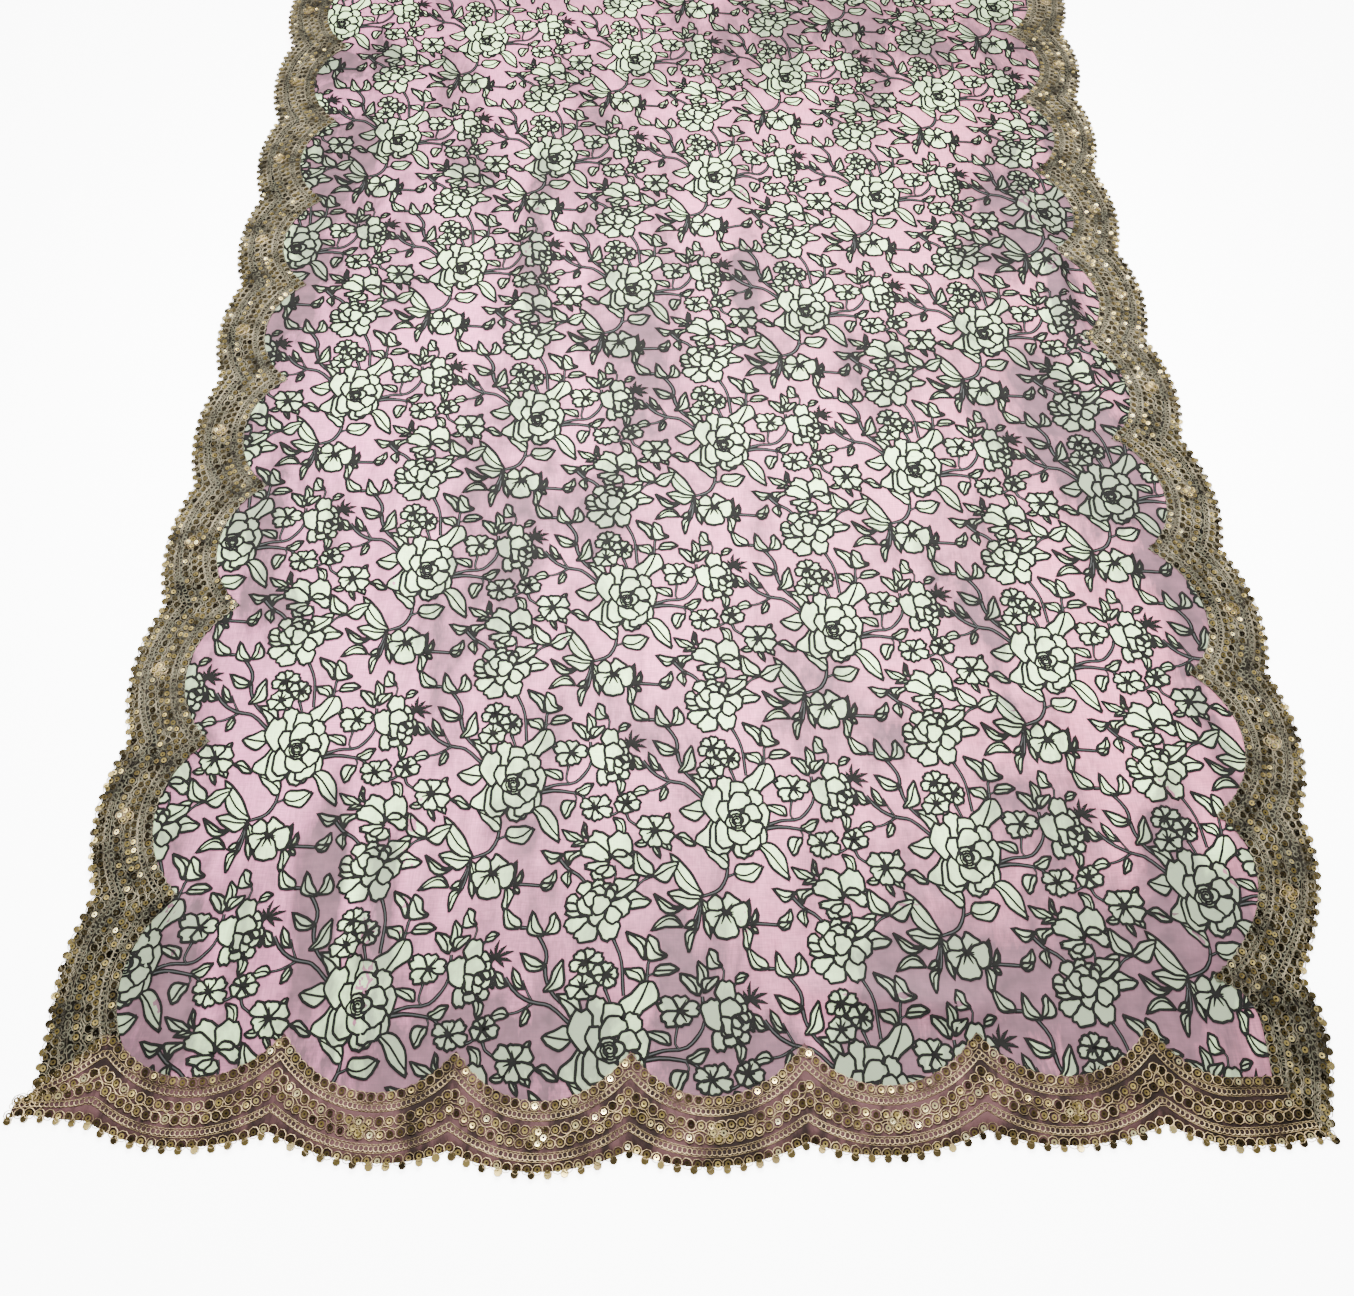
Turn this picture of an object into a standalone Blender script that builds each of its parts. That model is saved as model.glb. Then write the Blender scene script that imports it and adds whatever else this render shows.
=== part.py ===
"""A scalloped dupatta stole, spread out flat.

One printed sheet of fine cloth runs to the scalloped edge all round. Four lengths of
embroidered scalloped trim lie on it, one along each side, and meet on mitres at the
corners. The sheet rests flat on the ground plane; low soft folds and one broad swell
lift it here and there. Metres, +Z up, origin under the middle of the sheet.
"""

import math

import bmesh
import bpy
from mathutils import Vector
from mathutils.geometry import delaunay_2d_cdt

# ---------------------------------------------------------------- cloth sizes
PANEL_WALL = 0.0012        # printed sheet
TRIM_WALL = 0.0012         # embroidered trim, net and thread together
SEAM_GAP = 0.0004          # between the sheet and the trim that lies on it
MITRE_GAP = 0.0004         # between two lengths of trim at a corner

# ---------------------------------------------------------------- trim shape
# Depths are measured outwards from the line through the trim's inner cusps.
INNER_EDGE = (0.000, 0.032)    # at a cusp, and how much further out mid-scallop
OUTER_EDGE = (0.064, 0.012)
EDGES = {"inner": INNER_EDGE, "outer": OUTER_EDGE}
STEPS_PER_SCALLOP = 8
CORNER_STEPS = 4
SQUARE_CORNER = 1.1        # an end up to this many half scallops long has a square corner

# ---------------------------------------------------------------- how it lies
# Line through the inner cusps of each length: columns are place along, place across.
NEAR_ROWS = [(-0.393, -1.087), (-0.301, -1.089), (-0.184, -1.100), (-0.056, -1.100),
             (0.068, -1.094), (0.188, -1.086), (0.321, -1.081), (0.370, -1.083)]
FAR_ROWS = [(-0.398, 1.096), (-0.200, 1.089), (0.000, 1.098), (0.190, 1.104), (0.385, 1.097)]
LEFT_ROWS = [(-1.087, -0.393), (-0.866, -0.399), (-0.615, -0.399), (-0.358, -0.405),
             (-0.100, -0.412), (0.120, -0.416), (0.400, -0.407), (0.700, -0.398),
             (0.900, -0.403), (1.096, -0.398)]
RIGHT_ROWS = [(-1.083, 0.370), (-0.930, 0.404), (-0.805, 0.410), (-0.684, 0.401),
              (-0.424, 0.382), (-0.179, 0.373), (0.080, 0.378), (0.350, 0.388),
              (0.650, 0.377), (0.880, 0.381), (1.097, 0.385)]
# Name, rows, outward sign, runs along X, first cusp from its start corner, pitch.
TRIM_LENGTHS = [
    ("near", NEAR_ROWS, -1, True, 0.094, 0.1237),
    ("right", RIGHT_ROWS, 1, False, 0.036, 0.1235),
    ("far", FAR_ROWS, 1, True, 0.0570, 0.1338),
    ("left", LEFT_ROWS, -1, False, 0.095, 0.1265),
]
# The near left corner is drawn out to a point and the near right one is pushed in:
# centre x, centre y, reach, shift x, shift y.
SHIFTED_CORNERS = [
    (-0.457, -1.151, 0.034, -0.028, 0.010),
    (0.446, -1.159, 0.042, -0.014, 0.006),
]

# ---------------------------------------------------------------- folds
# Soft ridges: start x, start y, end x, end y, half width, height.
FOLDS = [
    (-0.400, -0.960, -0.385, -1.130, 0.020, 0.0050),
    (-0.252, -0.990, -0.238, -1.125, 0.018, 0.0055),
    (-0.228, -0.880, -0.222, -1.050, 0.017, 0.0040),
    (0.040, -1.055, 0.230, -1.072, 0.018, 0.0045),
    (0.052, 0.060, 0.050, -0.400, 0.028, 0.0060),
    (-0.180, -0.180, -0.172, -0.430, 0.024, 0.0050),
    (0.345, -0.160, 0.400, -0.540, 0.020, 0.0070),
    (0.110, -0.832, 0.345, -0.842, 0.026, 0.0045),
    (0.305, -0.930, 0.385, -1.055, 0.018, 0.0055),
    (-0.300, -0.560, -0.260, -0.760, 0.024, 0.0030),
    (-0.260, 0.480, -0.120, 0.860, 0.026, 0.0060),
    (0.210, 0.300, 0.130, 0.640, 0.024, 0.0055),
    (0.020, 0.880, 0.250, 0.980, 0.022, 0.0050),
    (-0.330, 0.700, -0.345, 1.010, 0.020, 0.0045),
]
# The broad swell: it rises along the left edge and fades out to the right.
SWELL_HEIGHT = 0.014
SWELL_FROM_Y = -0.240
SWELL_TO_Y = 0.700
SWELL_FULL_X = -0.330
SWELL_NONE_X = 0.340

# ---------------------------------------------------------------- mesh sizes
GRID_STEP = 0.058          # between points over the middle of the sheet
FOLD_STEP = 0.042          # between points along a fold
CLEAR_OF_TRIM = 0.022      # from a point on the sheet to the trim's inner edge
CLEAR_OF_POINT = 0.013     # from one point on the sheet to the next
CLEAR_OF_FOLD = 0.032      # from a grid point to a point on a fold
SAME_POINT = 1e-6

COLOURS = {
    "printed_panel": ((0.70, 0.42, 0.53, 1.0), 0.55, 0.0),
    "trim": ((0.40, 0.29, 0.15, 1.0), 0.42, 0.6),
}


def clear_scene():
    for thing in list(bpy.data.objects):
        bpy.data.objects.remove(thing, do_unlink=True)


def smooth_step(value):
    value = min(1.0, max(0.0, value))
    return value * value * (3.0 - 2.0 * value)


def smooth_line(rows, place):
    """Height of the smooth curve through the rows, level beyond both ends."""
    if place <= rows[0][0]:
        return rows[0][1]
    if place >= rows[-1][0]:
        return rows[-1][1]
    index = max(i for i, row in enumerate(rows[:-1]) if row[0] <= place)
    (a, low), (b, high) = rows[index], rows[index + 1]
    slope_a = slope_b = 0.0
    if index > 0:
        before = rows[index - 1]
        slope_a = (high - before[1]) / (b - before[0])
    if index < len(rows) - 2:
        after = rows[index + 2]
        slope_b = (after[1] - low) / (after[0] - a)
    width = b - a
    t = (place - a) / width
    return ((2 * t**3 - 3 * t**2 + 1) * low + (t**3 - 2 * t**2 + t) * width * slope_a
            + (3 * t**2 - 2 * t**3) * high + (t**3 - t**2) * width * slope_b)


def arc_share(share, half, drop):
    """Depth of a round scallop at a share of the way from its cusp to its middle."""
    radius = (half * half + drop * drop) / (2.0 * drop)
    across = half * (1.0 - share)
    return (math.sqrt(radius * radius - across * across) - (radius - drop)) / drop


class TrimLength:
    """One length of trim: where its cusps fall and how deep its edges run."""

    def __init__(self, name, rows, outward, along_x, first, pitch):
        self.name = name
        self.rows = rows
        self.outward = outward
        self.along_x = along_x
        self.pitch = pitch
        self.start = rows[0][0]
        self.span = rows[-1][0] - self.start
        count = int((self.span - first) / pitch + 1e-6) + 1
        self.cusps = [first + k * pitch for k in range(count)]

    def depth(self, along, edge):
        """Outward depth of an edge at a distance along from the start corner."""
        at_cusp, drop = edge
        half = self.pitch / 2.0
        first, last = self.cusps[0], self.cusps[-1]
        if first <= along <= last:
            beyond, room = (along - first) % self.pitch, self.pitch
        elif along < first:
            beyond, room = first - along, first
        else:
            beyond, room = along - last, self.span - last
        if room <= half * SQUARE_CORNER:
            # Too short for a whole scallop: half of one, then straight to the mitre.
            half = room
            share = min(1.0, beyond / half)
        else:
            beyond = min(beyond, self.pitch)
            share = min(beyond, self.pitch - beyond) / half
        return at_cusp + drop * arc_share(share, half, drop)

    def point(self, along, depth):
        """Place on the ground of a point this far along and this far out."""
        place = self.start + along
        across = smooth_line(self.rows, place) + self.outward * depth
        x, y = (place, across) if self.along_x else (across, place)
        spot = Vector((x, y))
        for corner_x, corner_y, reach, shift_x, shift_y in SHIFTED_CORNERS:
            near = math.hypot(x - corner_x, y - corner_y) / reach
            spot += math.exp(-near * near) * Vector((shift_x, shift_y))
        return spot

    def mitre(self, edge, at_end):
        """Depth at which an edge meets the corner's diagonal."""
        depth = edge[0] + edge[1] / 2.0
        for _ in range(40):
            along = self.span + depth if at_end else -depth
            depth = 0.5 * (depth + self.depth(along, edge))
        return depth

    def stations(self):
        """Distances along at which both edges get a point, between the corners."""
        marks = {0.0, self.span}
        knots = [0.0] + self.cusps + [self.span]
        for low, high in zip(knots, knots[1:]):
            steps = max(1, round(STEPS_PER_SCALLOP * (high - low) / self.pitch))
            marks.update(low + (high - low) * k / steps for k in range(steps + 1))
        return sorted(marks)

    def edge_points(self, edge, start_depth, end_depth):
        """The edge from mitre to mitre."""
        points = [self.point(-start_depth * k / CORNER_STEPS, start_depth * k / CORNER_STEPS
                             + (1 - k / CORNER_STEPS) * self.depth(0.0, edge))
                  for k in range(CORNER_STEPS, 0, -1)]
        points += [self.point(along, self.depth(along, edge)) for along in self.stations()]
        points += [self.point(self.span + end_depth * k / CORNER_STEPS, end_depth * k / CORNER_STEPS
                              + (1 - k / CORNER_STEPS) * self.depth(self.span, edge))
                   for k in range(1, CORNER_STEPS + 1)]
        return points


def segment_place(x, y, fold):
    """Share along a fold, and distance from its line."""
    ax, ay, bx, by = fold[:4]
    dx, dy = bx - ax, by - ay
    share = ((x - ax) * dx + (y - ay) * dy) / (dx * dx + dy * dy)
    inside = min(1.0, max(0.0, share))
    return share, math.hypot(x - ax - inside * dx, y - ay - inside * dy)


def lift(x, y):
    """Height of the sheet's underside above the ground."""
    along = (y - SWELL_FROM_Y) / (SWELL_TO_Y - SWELL_FROM_Y)
    across = (SWELL_NONE_X - x) / (SWELL_NONE_X - SWELL_FULL_X)
    height = 0.0
    if 0.0 < along < 1.0:
        height = SWELL_HEIGHT * 0.5 * (1.0 - math.cos(2.0 * math.pi * along)) * smooth_step(across)
    for fold in FOLDS:
        half_width, top = fold[4:]
        share, away = segment_place(x, y, fold)
        if 0.0 < share < 1.0 and away < half_width:
            ends = smooth_step(share * 4.0) * smooth_step((1.0 - share) * 4.0)
            height += top * ends * 0.5 * (1.0 + math.cos(math.pi * away / half_width))
    return height


def trim_outline(lengths):
    """Inner and outer edge of each length, keyed by its name."""
    edges = {}
    for length in lengths:
        for edge_name, edge in EDGES.items():
            start, end = length.mitre(edge, False), length.mitre(edge, True)
            edges[length.name, edge_name] = length.edge_points(edge, start, end)
    return edges


def join_corners(edges):
    """Bring the two lengths at each corner to one shared point on each edge."""
    meets = [("near", 0, "left", 0), ("near", -1, "right", 0),
             ("far", 0, "left", -1), ("far", -1, "right", -1)]
    for edge_name in EDGES:
        for one, at_one, other, at_other in meets:
            shared = (edges[one, edge_name][at_one] + edges[other, edge_name][at_other]) / 2.0
            edges[one, edge_name][at_one] = shared.copy()
            edges[other, edge_name][at_other] = shared.copy()


def inside_polygon(point, polygon):
    hit = False
    previous = polygon[-1]
    for corner in polygon:
        if (corner.y > point.y) != (previous.y > point.y):
            cross = previous.x + (point.y - previous.y) * (corner.x - previous.x) / (corner.y - previous.y)
            if point.x < cross:
                hit = not hit
        previous = corner
    return hit


def sheet_points(inner_loop):
    """Points over the middle of the sheet: along the folds first, then a plain grid."""
    chosen = []

    def add(x, y):
        spot = Vector((x, y))
        if not inside_polygon(spot, inner_loop):
            return
        if any((spot - other).length < CLEAR_OF_TRIM for other in inner_loop):
            return
        if any((spot - other).length < CLEAR_OF_POINT for other in chosen):
            return
        chosen.append(spot)

    for fold in FOLDS:
        start, end = Vector(fold[:2]), Vector(fold[2:4])
        run = end - start
        side = Vector((-run.y, run.x)).normalized() * fold[4]
        steps = max(3, round(run.length / FOLD_STEP))
        for k in range(steps + 1):
            for share in (0.0, -1.0, 1.0):
                spot = start + run * (k / steps) + side * share
                add(spot.x, spot.y)
    on_folds = list(chosen)
    rows = int(max(abs(p.y) for p in inner_loop) / GRID_STEP)
    columns = int(max(abs(p.x) for p in inner_loop) / GRID_STEP)
    for j in range(-rows, rows + 1):
        for i in range(-columns, columns + 1):
            x, y = (i + 0.5 * (j % 2)) * GRID_STEP, j * GRID_STEP
            if all(math.hypot(x - p.x, y - p.y) > CLEAR_OF_FOLD for p in on_folds):
                add(x, y)
    return chosen


def closed_wall(name, flat_points, triangles, underside, wall, colour_name):
    """A closed body of even wall over a flat triangulation, lifted to its place."""
    mesh_build = bmesh.new()
    low = [mesh_build.verts.new((p.x, p.y, z)) for p, z in zip(flat_points, underside)]
    high = [mesh_build.verts.new((p.x, p.y, z + wall)) for p, z in zip(flat_points, underside)]
    edge_uses = {}
    for a, b, c in triangles:
        mesh_build.faces.new((high[a], high[b], high[c]))
        mesh_build.faces.new((low[c], low[b], low[a]))
        for start, end in ((a, b), (b, c), (c, a)):
            edge_uses[(start, end)] = True
    for start, end in edge_uses:
        if (end, start) not in edge_uses:
            mesh_build.faces.new((low[start], low[end], high[end], high[start]))
    bmesh.ops.triangulate(mesh_build, faces=[f for f in mesh_build.faces if len(f.verts) > 3])
    mesh = bpy.data.meshes.new(name)
    mesh_build.to_mesh(mesh)
    mesh_build.free()
    mesh.materials.append(make_material(name, colour_name))
    body = bpy.data.objects.new(name, mesh)
    bpy.context.scene.collection.objects.link(body)
    mesh.shade_smooth()
    mesh.set_sharp_from_angle(angle=math.radians(35))
    return body


def make_material(name, colour_name):
    colour, roughness, metallic = COLOURS[colour_name]
    material = bpy.data.materials.new(name)
    material.use_nodes = True
    shader = material.node_tree.nodes["Principled BSDF"]
    shader.inputs["Base Color"].default_value = colour
    shader.inputs["Roughness"].default_value = roughness
    shader.inputs["Metallic"].default_value = metallic
    return material


def counter_clockwise(points, triangle):
    a, b, c = (points[i] for i in triangle)
    turned = (b.x - a.x) * (c.y - a.y) - (b.y - a.y) * (c.x - a.x)
    return tuple(triangle) if turned > 0 else tuple(reversed(triangle))


def build():
    clear_scene()
    lengths = [TrimLength(*row) for row in TRIM_LENGTHS]
    edges = trim_outline(lengths)
    join_corners(edges)

    # One flat triangulation carries everything: the sheet takes all of it and each
    # length of trim takes the triangles between its own two edges.
    points = []
    owners = {}

    def number(point, owner=None):
        for index in range(len(points)):
            if (points[index] - point).length < SAME_POINT:
                break
        else:
            index = len(points)
            points.append(point.copy())
        owners.setdefault(index, set()).update([owner] if owner else [])
        return index

    constraints = []
    strips = {}
    for length in lengths:
        rails = {}
        for edge_name in EDGES:
            rail = [number(point, length.name) for point in edges[length.name, edge_name]]
            constraints += list(zip(rail, rail[1:]))
            rails[edge_name] = rail
        constraints += [(rails["inner"][0], rails["outer"][0]), (rails["inner"][-1], rails["outer"][-1])]
        strips[length.name] = rails["outer"] + rails["inner"][::-1]
    order = [("near", 1), ("right", 1), ("far", -1), ("left", -1)]
    inner_loop = []
    for name, step in order:
        inner_loop += edges[name, "inner"][::step][:-1]
    for spot in sheet_points(inner_loop):
        number(spot)

    placed, _, faces, origin, _, _ = delaunay_2d_cdt(points, list(set(constraints)), [], 1, SAME_POINT)
    triangles = [counter_clockwise(placed, face) for face in faces]
    placed_owner = [owners.get(source[0], set()) if source else set() for source in origin]

    ground = [lift(p.x, p.y) for p in placed]
    closed_wall("printed_panel", placed, triangles, ground, PANEL_WALL, "printed_panel")

    for length in lengths:
        outline = [points[i] for i in strips[length.name]]
        own = []
        for triangle in triangles:
            if all(length.name in placed_owner[i] for i in triangle):
                middle = sum((placed[i] for i in triangle), Vector((0.0, 0.0))) / 3.0
                if inside_polygon(middle, outline):
                    own.append(triangle)
        used = sorted({i for triangle in own for i in triangle})
        renumber = {old: new for new, old in enumerate(used)}
        spots = []
        for i in used:
            spot = placed[i].copy()
            if len(placed_owner[i]) > 1:
                slide = MITRE_GAP if (spot.x if length.along_x else spot.y) < 0 else -MITRE_GAP
                spot += Vector((slide, 0.0)) if length.along_x else Vector((0.0, slide))
            spots.append(spot)
        underside = [ground[i] + PANEL_WALL + SEAM_GAP for i in used]
        own = [tuple(renumber[i] for i in triangle) for triangle in own]
        closed_wall("trim_" + length.name, spots, own, underside, TRIM_WALL, "trim")


build()
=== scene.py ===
# %% [markdown]
# # A scalloped dupatta stole, spread out flat
#
# A dupatta is a long light stole. This one is a single sheet of fine pink cloth with an all-over
# flower print drawn in black and filled with cream. A scalloped band of gold thread and sequins
# is sewn on along all four sides. The cloth's true size and the way it lies come from the frame;
# this script gives it its folds, its print, its embroidery and its finish.

import math

import bpy
import numpy as np
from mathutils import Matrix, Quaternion, Vector
from mathutils.geometry import delaunay_2d_cdt
from mathutils.kdtree import KDTree


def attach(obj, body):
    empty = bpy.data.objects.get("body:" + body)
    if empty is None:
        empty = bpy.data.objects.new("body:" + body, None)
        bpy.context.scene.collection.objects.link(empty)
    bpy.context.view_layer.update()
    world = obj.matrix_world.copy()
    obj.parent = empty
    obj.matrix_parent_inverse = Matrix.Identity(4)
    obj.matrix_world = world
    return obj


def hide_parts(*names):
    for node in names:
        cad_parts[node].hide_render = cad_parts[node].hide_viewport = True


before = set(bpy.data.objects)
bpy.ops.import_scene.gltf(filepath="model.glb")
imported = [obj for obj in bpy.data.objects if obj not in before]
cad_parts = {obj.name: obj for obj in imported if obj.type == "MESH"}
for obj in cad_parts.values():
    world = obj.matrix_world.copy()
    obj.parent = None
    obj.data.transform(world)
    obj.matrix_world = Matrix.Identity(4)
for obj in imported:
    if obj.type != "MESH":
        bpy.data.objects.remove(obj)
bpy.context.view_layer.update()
print("frame nodes:", ", ".join(sorted(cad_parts)))

# %% [markdown]
# ## The camera, the floor and the lights
#
# The stole lies on a white floor. The camera stands over its near short end and looks down
# at it steeply, so the long sides run together towards the top of the view. A large soft lamp
# over the far end lets the sequins glitter, a small one hangs low over the near half, and one
# from the left models the folds.

# %% Camera
CAMERA_PLACE = (-0.020, -1.180, 0.790)
CAMERA_PITCH = math.radians(63.0)      # down from level
CAMERA_ROLL = math.radians(0.3)
VIEW_WIDTH = 1354
FOCAL_PIXELS = 1040.0                  # focal length measured in the view's own pixels
SENSOR_WIDTH = 36.0


def make_camera():
    lens = bpy.data.cameras.new("Camera")
    lens.sensor_fit = "HORIZONTAL"
    lens.sensor_width = SENSOR_WIDTH
    lens.lens = SENSOR_WIDTH * FOCAL_PIXELS / VIEW_WIDTH
    lens.clip_start = 0.01
    camera = bpy.data.objects.new("Camera", lens)
    camera.location = CAMERA_PLACE
    camera.rotation_mode = "QUATERNION"
    tilt = Vector((1, 0, 0)), math.pi / 2 - CAMERA_PITCH
    camera.rotation_quaternion = Quaternion(*tilt) @ Quaternion((0, 0, 1), CAMERA_ROLL)
    bpy.context.scene.collection.objects.link(camera)
    bpy.context.scene.camera = camera
    return camera


camera = make_camera()
print("camera lens:", round(camera.data.lens, 2), "mm")


# %% Floor and lights
FLOOR_HALF = 6.0
FLOOR_HEIGHT = -0.0006                 # just clear of the sheet's underside
FLOOR_COLOUR = (0.93, 0.95, 0.93, 1.0)
FLOOR_GLOW = 7.5
WORLD_COLOUR = (1.0, 0.99, 0.98, 1.0)
WORLD_STRENGTH = 0.55
# Name, place, aim, width and length, watts.
LAMPS = [
    ("Far softbox", (0.2, 1.25, 2.1), (0.0, -0.1, 0.0), (2.0, 1.1), 100.0),
    ("Low softbox", (0.0, -0.52, 0.80), (0.0, -0.52, 0.0), (0.6, 0.5), 47.0),
    ("Left softbox", (-2.3, 0.1, 1.5), (0.0, -0.2, 0.0), (1.6, 1.2), 38.0),
]


def make_floor():
    mesh = bpy.data.meshes.new("Floor")
    corners = [(x * FLOOR_HALF, y * FLOOR_HALF, FLOOR_HEIGHT)
               for x, y in ((-1, -1), (1, -1), (1, 1), (-1, 1))]
    mesh.from_pydata(corners, [], [(0, 1, 2, 3)])
    floor = bpy.data.objects.new("Floor", mesh)
    bpy.context.scene.collection.objects.link(floor)
    material = bpy.data.materials.new("white floor")
    material.use_nodes = True
    shader = material.node_tree.nodes["Principled BSDF"]
    shader.inputs["Base Color"].default_value = FLOOR_COLOUR
    shader.inputs["Roughness"].default_value = 0.7
    shader.inputs["Emission Color"].default_value = (1.0, 1.0, 1.0, 1.0)
    shader.inputs["Emission Strength"].default_value = FLOOR_GLOW
    mesh.materials.append(material)


def make_lamp(name, place, aim, size, watts):
    lamp = bpy.data.lights.new(name, "AREA")
    lamp.shape = "RECTANGLE"
    lamp.size, lamp.size_y = size
    lamp.energy = watts
    holder = bpy.data.objects.new(name, lamp)
    holder.location = place
    direction = Vector(aim) - Vector(place)
    holder.rotation_euler = direction.to_track_quat("-Z", "Y").to_euler()
    bpy.context.scene.collection.objects.link(holder)


def make_world(colour, strength):
    world = bpy.data.worlds.new("Studio")
    world.use_nodes = True
    sky = world.node_tree.nodes["Background"]
    sky.inputs["Color"].default_value = colour
    sky.inputs["Strength"].default_value = strength
    bpy.context.scene.world = world


make_floor()
make_world(WORLD_COLOUR, WORLD_STRENGTH)
for row in LAMPS:
    make_lamp(*row)
print("floor, world and", len(LAMPS), "lamps")

# %% [markdown]
# ## How the cloth lies
#
# Everything on the stole follows two rules. The first is the plan of the border: a line through
# the scallops' inner cusps for each side, with round scallops hung on it. The second is the
# height of the cloth: mostly flat, with soft ridges where a fold has not fallen out and one
# broad swell. The sizes here are those of the frame's own pieces.

# %% Sizes of the border and the folds
CLOTH_WALL = 0.0007
NET_GAP = 0.0003
NET_WALL = 0.0005
INNER_EDGE = (0.000, 0.032)            # depth at a cusp, and how much further out mid-scallop
OUTER_EDGE = (0.0640, 0.0120)
SCALLOP_STEPS = 24
CORNER_STEPS = 12
SQUARE_CORNER = 1.1
NEAR_ROWS = [(-0.393, -1.087), (-0.301, -1.089), (-0.184, -1.100), (-0.056, -1.100),
             (0.068, -1.094), (0.188, -1.086), (0.321, -1.081), (0.370, -1.083)]
FAR_ROWS = [(-0.398, 1.096), (-0.200, 1.089), (0.000, 1.098), (0.190, 1.104), (0.385, 1.097)]
LEFT_ROWS = [(-1.087, -0.393), (-0.866, -0.399), (-0.615, -0.399), (-0.358, -0.405),
             (-0.100, -0.412), (0.120, -0.416), (0.400, -0.407), (0.700, -0.398),
             (0.900, -0.403), (1.096, -0.398)]
RIGHT_ROWS = [(-1.083, 0.370), (-0.930, 0.404), (-0.805, 0.410), (-0.684, 0.401),
              (-0.424, 0.382), (-0.179, 0.373), (0.080, 0.378), (0.350, 0.388),
              (0.650, 0.377), (0.880, 0.381), (1.097, 0.385)]
# Name, rows, outward sign, runs along X, first cusp from its start corner, pitch.
TRIM_LENGTHS = [
    ("near", NEAR_ROWS, -1, True, 0.094, 0.1237),
    ("right", RIGHT_ROWS, 1, False, 0.036, 0.1235),
    ("far", FAR_ROWS, 1, True, 0.0570, 0.1338),
    ("left", LEFT_ROWS, -1, False, 0.095, 0.1265),
]
# Centre x, centre y, reach, shift x, shift y.
SHIFTED_CORNERS = [
    (-0.462, -1.160, 0.034, -0.012, 0.018),
    (-0.466, -1.120, 0.024, -0.006, -0.012),
    (0.446, -1.159, 0.042, -0.014, 0.006),
]
# Soft ridges: start x, start y, end x, end y, half width, height.
FOLDS = [
    (-0.400, -0.960, -0.385, -1.130, 0.020, 0.0050),
    (-0.252, -0.990, -0.238, -1.125, 0.018, 0.0055),
    (-0.228, -0.880, -0.222, -1.050, 0.017, 0.0040),
    (0.040, -1.055, 0.230, -1.072, 0.018, 0.0045),
    (0.052, 0.060, 0.050, -0.400, 0.028, 0.0060),
    (-0.180, -0.180, -0.172, -0.430, 0.024, 0.0050),
    (0.345, -0.160, 0.400, -0.540, 0.020, 0.0070),
    (0.110, -0.832, 0.345, -0.842, 0.026, 0.0045),
    (0.305, -0.930, 0.385, -1.055, 0.018, 0.0055),
    (-0.300, -0.560, -0.260, -0.760, 0.024, 0.0030),
    (-0.260, 0.480, -0.120, 0.860, 0.026, 0.0060),
    (0.210, 0.300, 0.130, 0.640, 0.024, 0.0055),
    (0.020, 0.880, 0.250, 0.980, 0.022, 0.0050),
    (-0.330, 0.700, -0.345, 1.010, 0.020, 0.0045),
]
# Finer creases, in the same columns.
CREASES = [
    (-0.468, -0.028, -0.277, -0.054, 0.013, 0.0020),
    (0.383, -0.093, 0.371, -0.414, 0.011, 0.0018),
    (0.371, -0.414, 0.410, -0.600, 0.011, 0.0022),
    (0.352, -0.860, 0.430, -1.030, 0.012, 0.0020),
    (-0.300, -0.940, -0.304, -1.010, 0.011, 0.0016),
    (0.030, -0.990, 0.034, -1.060, 0.011, 0.0016),
    (0.120, -0.996, 0.240, -0.990, 0.011, 0.0014),
    (-0.060, -0.300, -0.030, -0.520, 0.013, 0.0014),
    (0.170, -0.180, 0.200, -0.420, 0.013, 0.0016),
    (-0.330, -0.260, -0.318, -0.470, 0.012, 0.0015),
    (0.250, 0.020, 0.262, -0.190, 0.013, 0.0016),
    (-0.090, 0.060, -0.100, -0.120, 0.014, 0.0018),
    (0.130, -0.620, 0.180, -0.790, 0.013, 0.0013),
    (-0.120, -0.700, -0.105, -0.900, 0.012, 0.0013),
    (-0.380, -0.700, -0.366, -0.850, 0.012, 0.0014),
    (-0.350, 0.200, -0.300, 0.420, 0.013, 0.0018),
    (0.040, 0.240, 0.010, 0.520, 0.013, 0.0017),
    (0.330, 0.500, 0.300, 0.800, 0.013, 0.0018),
    (-0.060, 0.760, -0.020, 1.000, 0.012, 0.0016),
    (-0.200, 0.960, -0.150, 1.120, 0.012, 0.0016),
]
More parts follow.
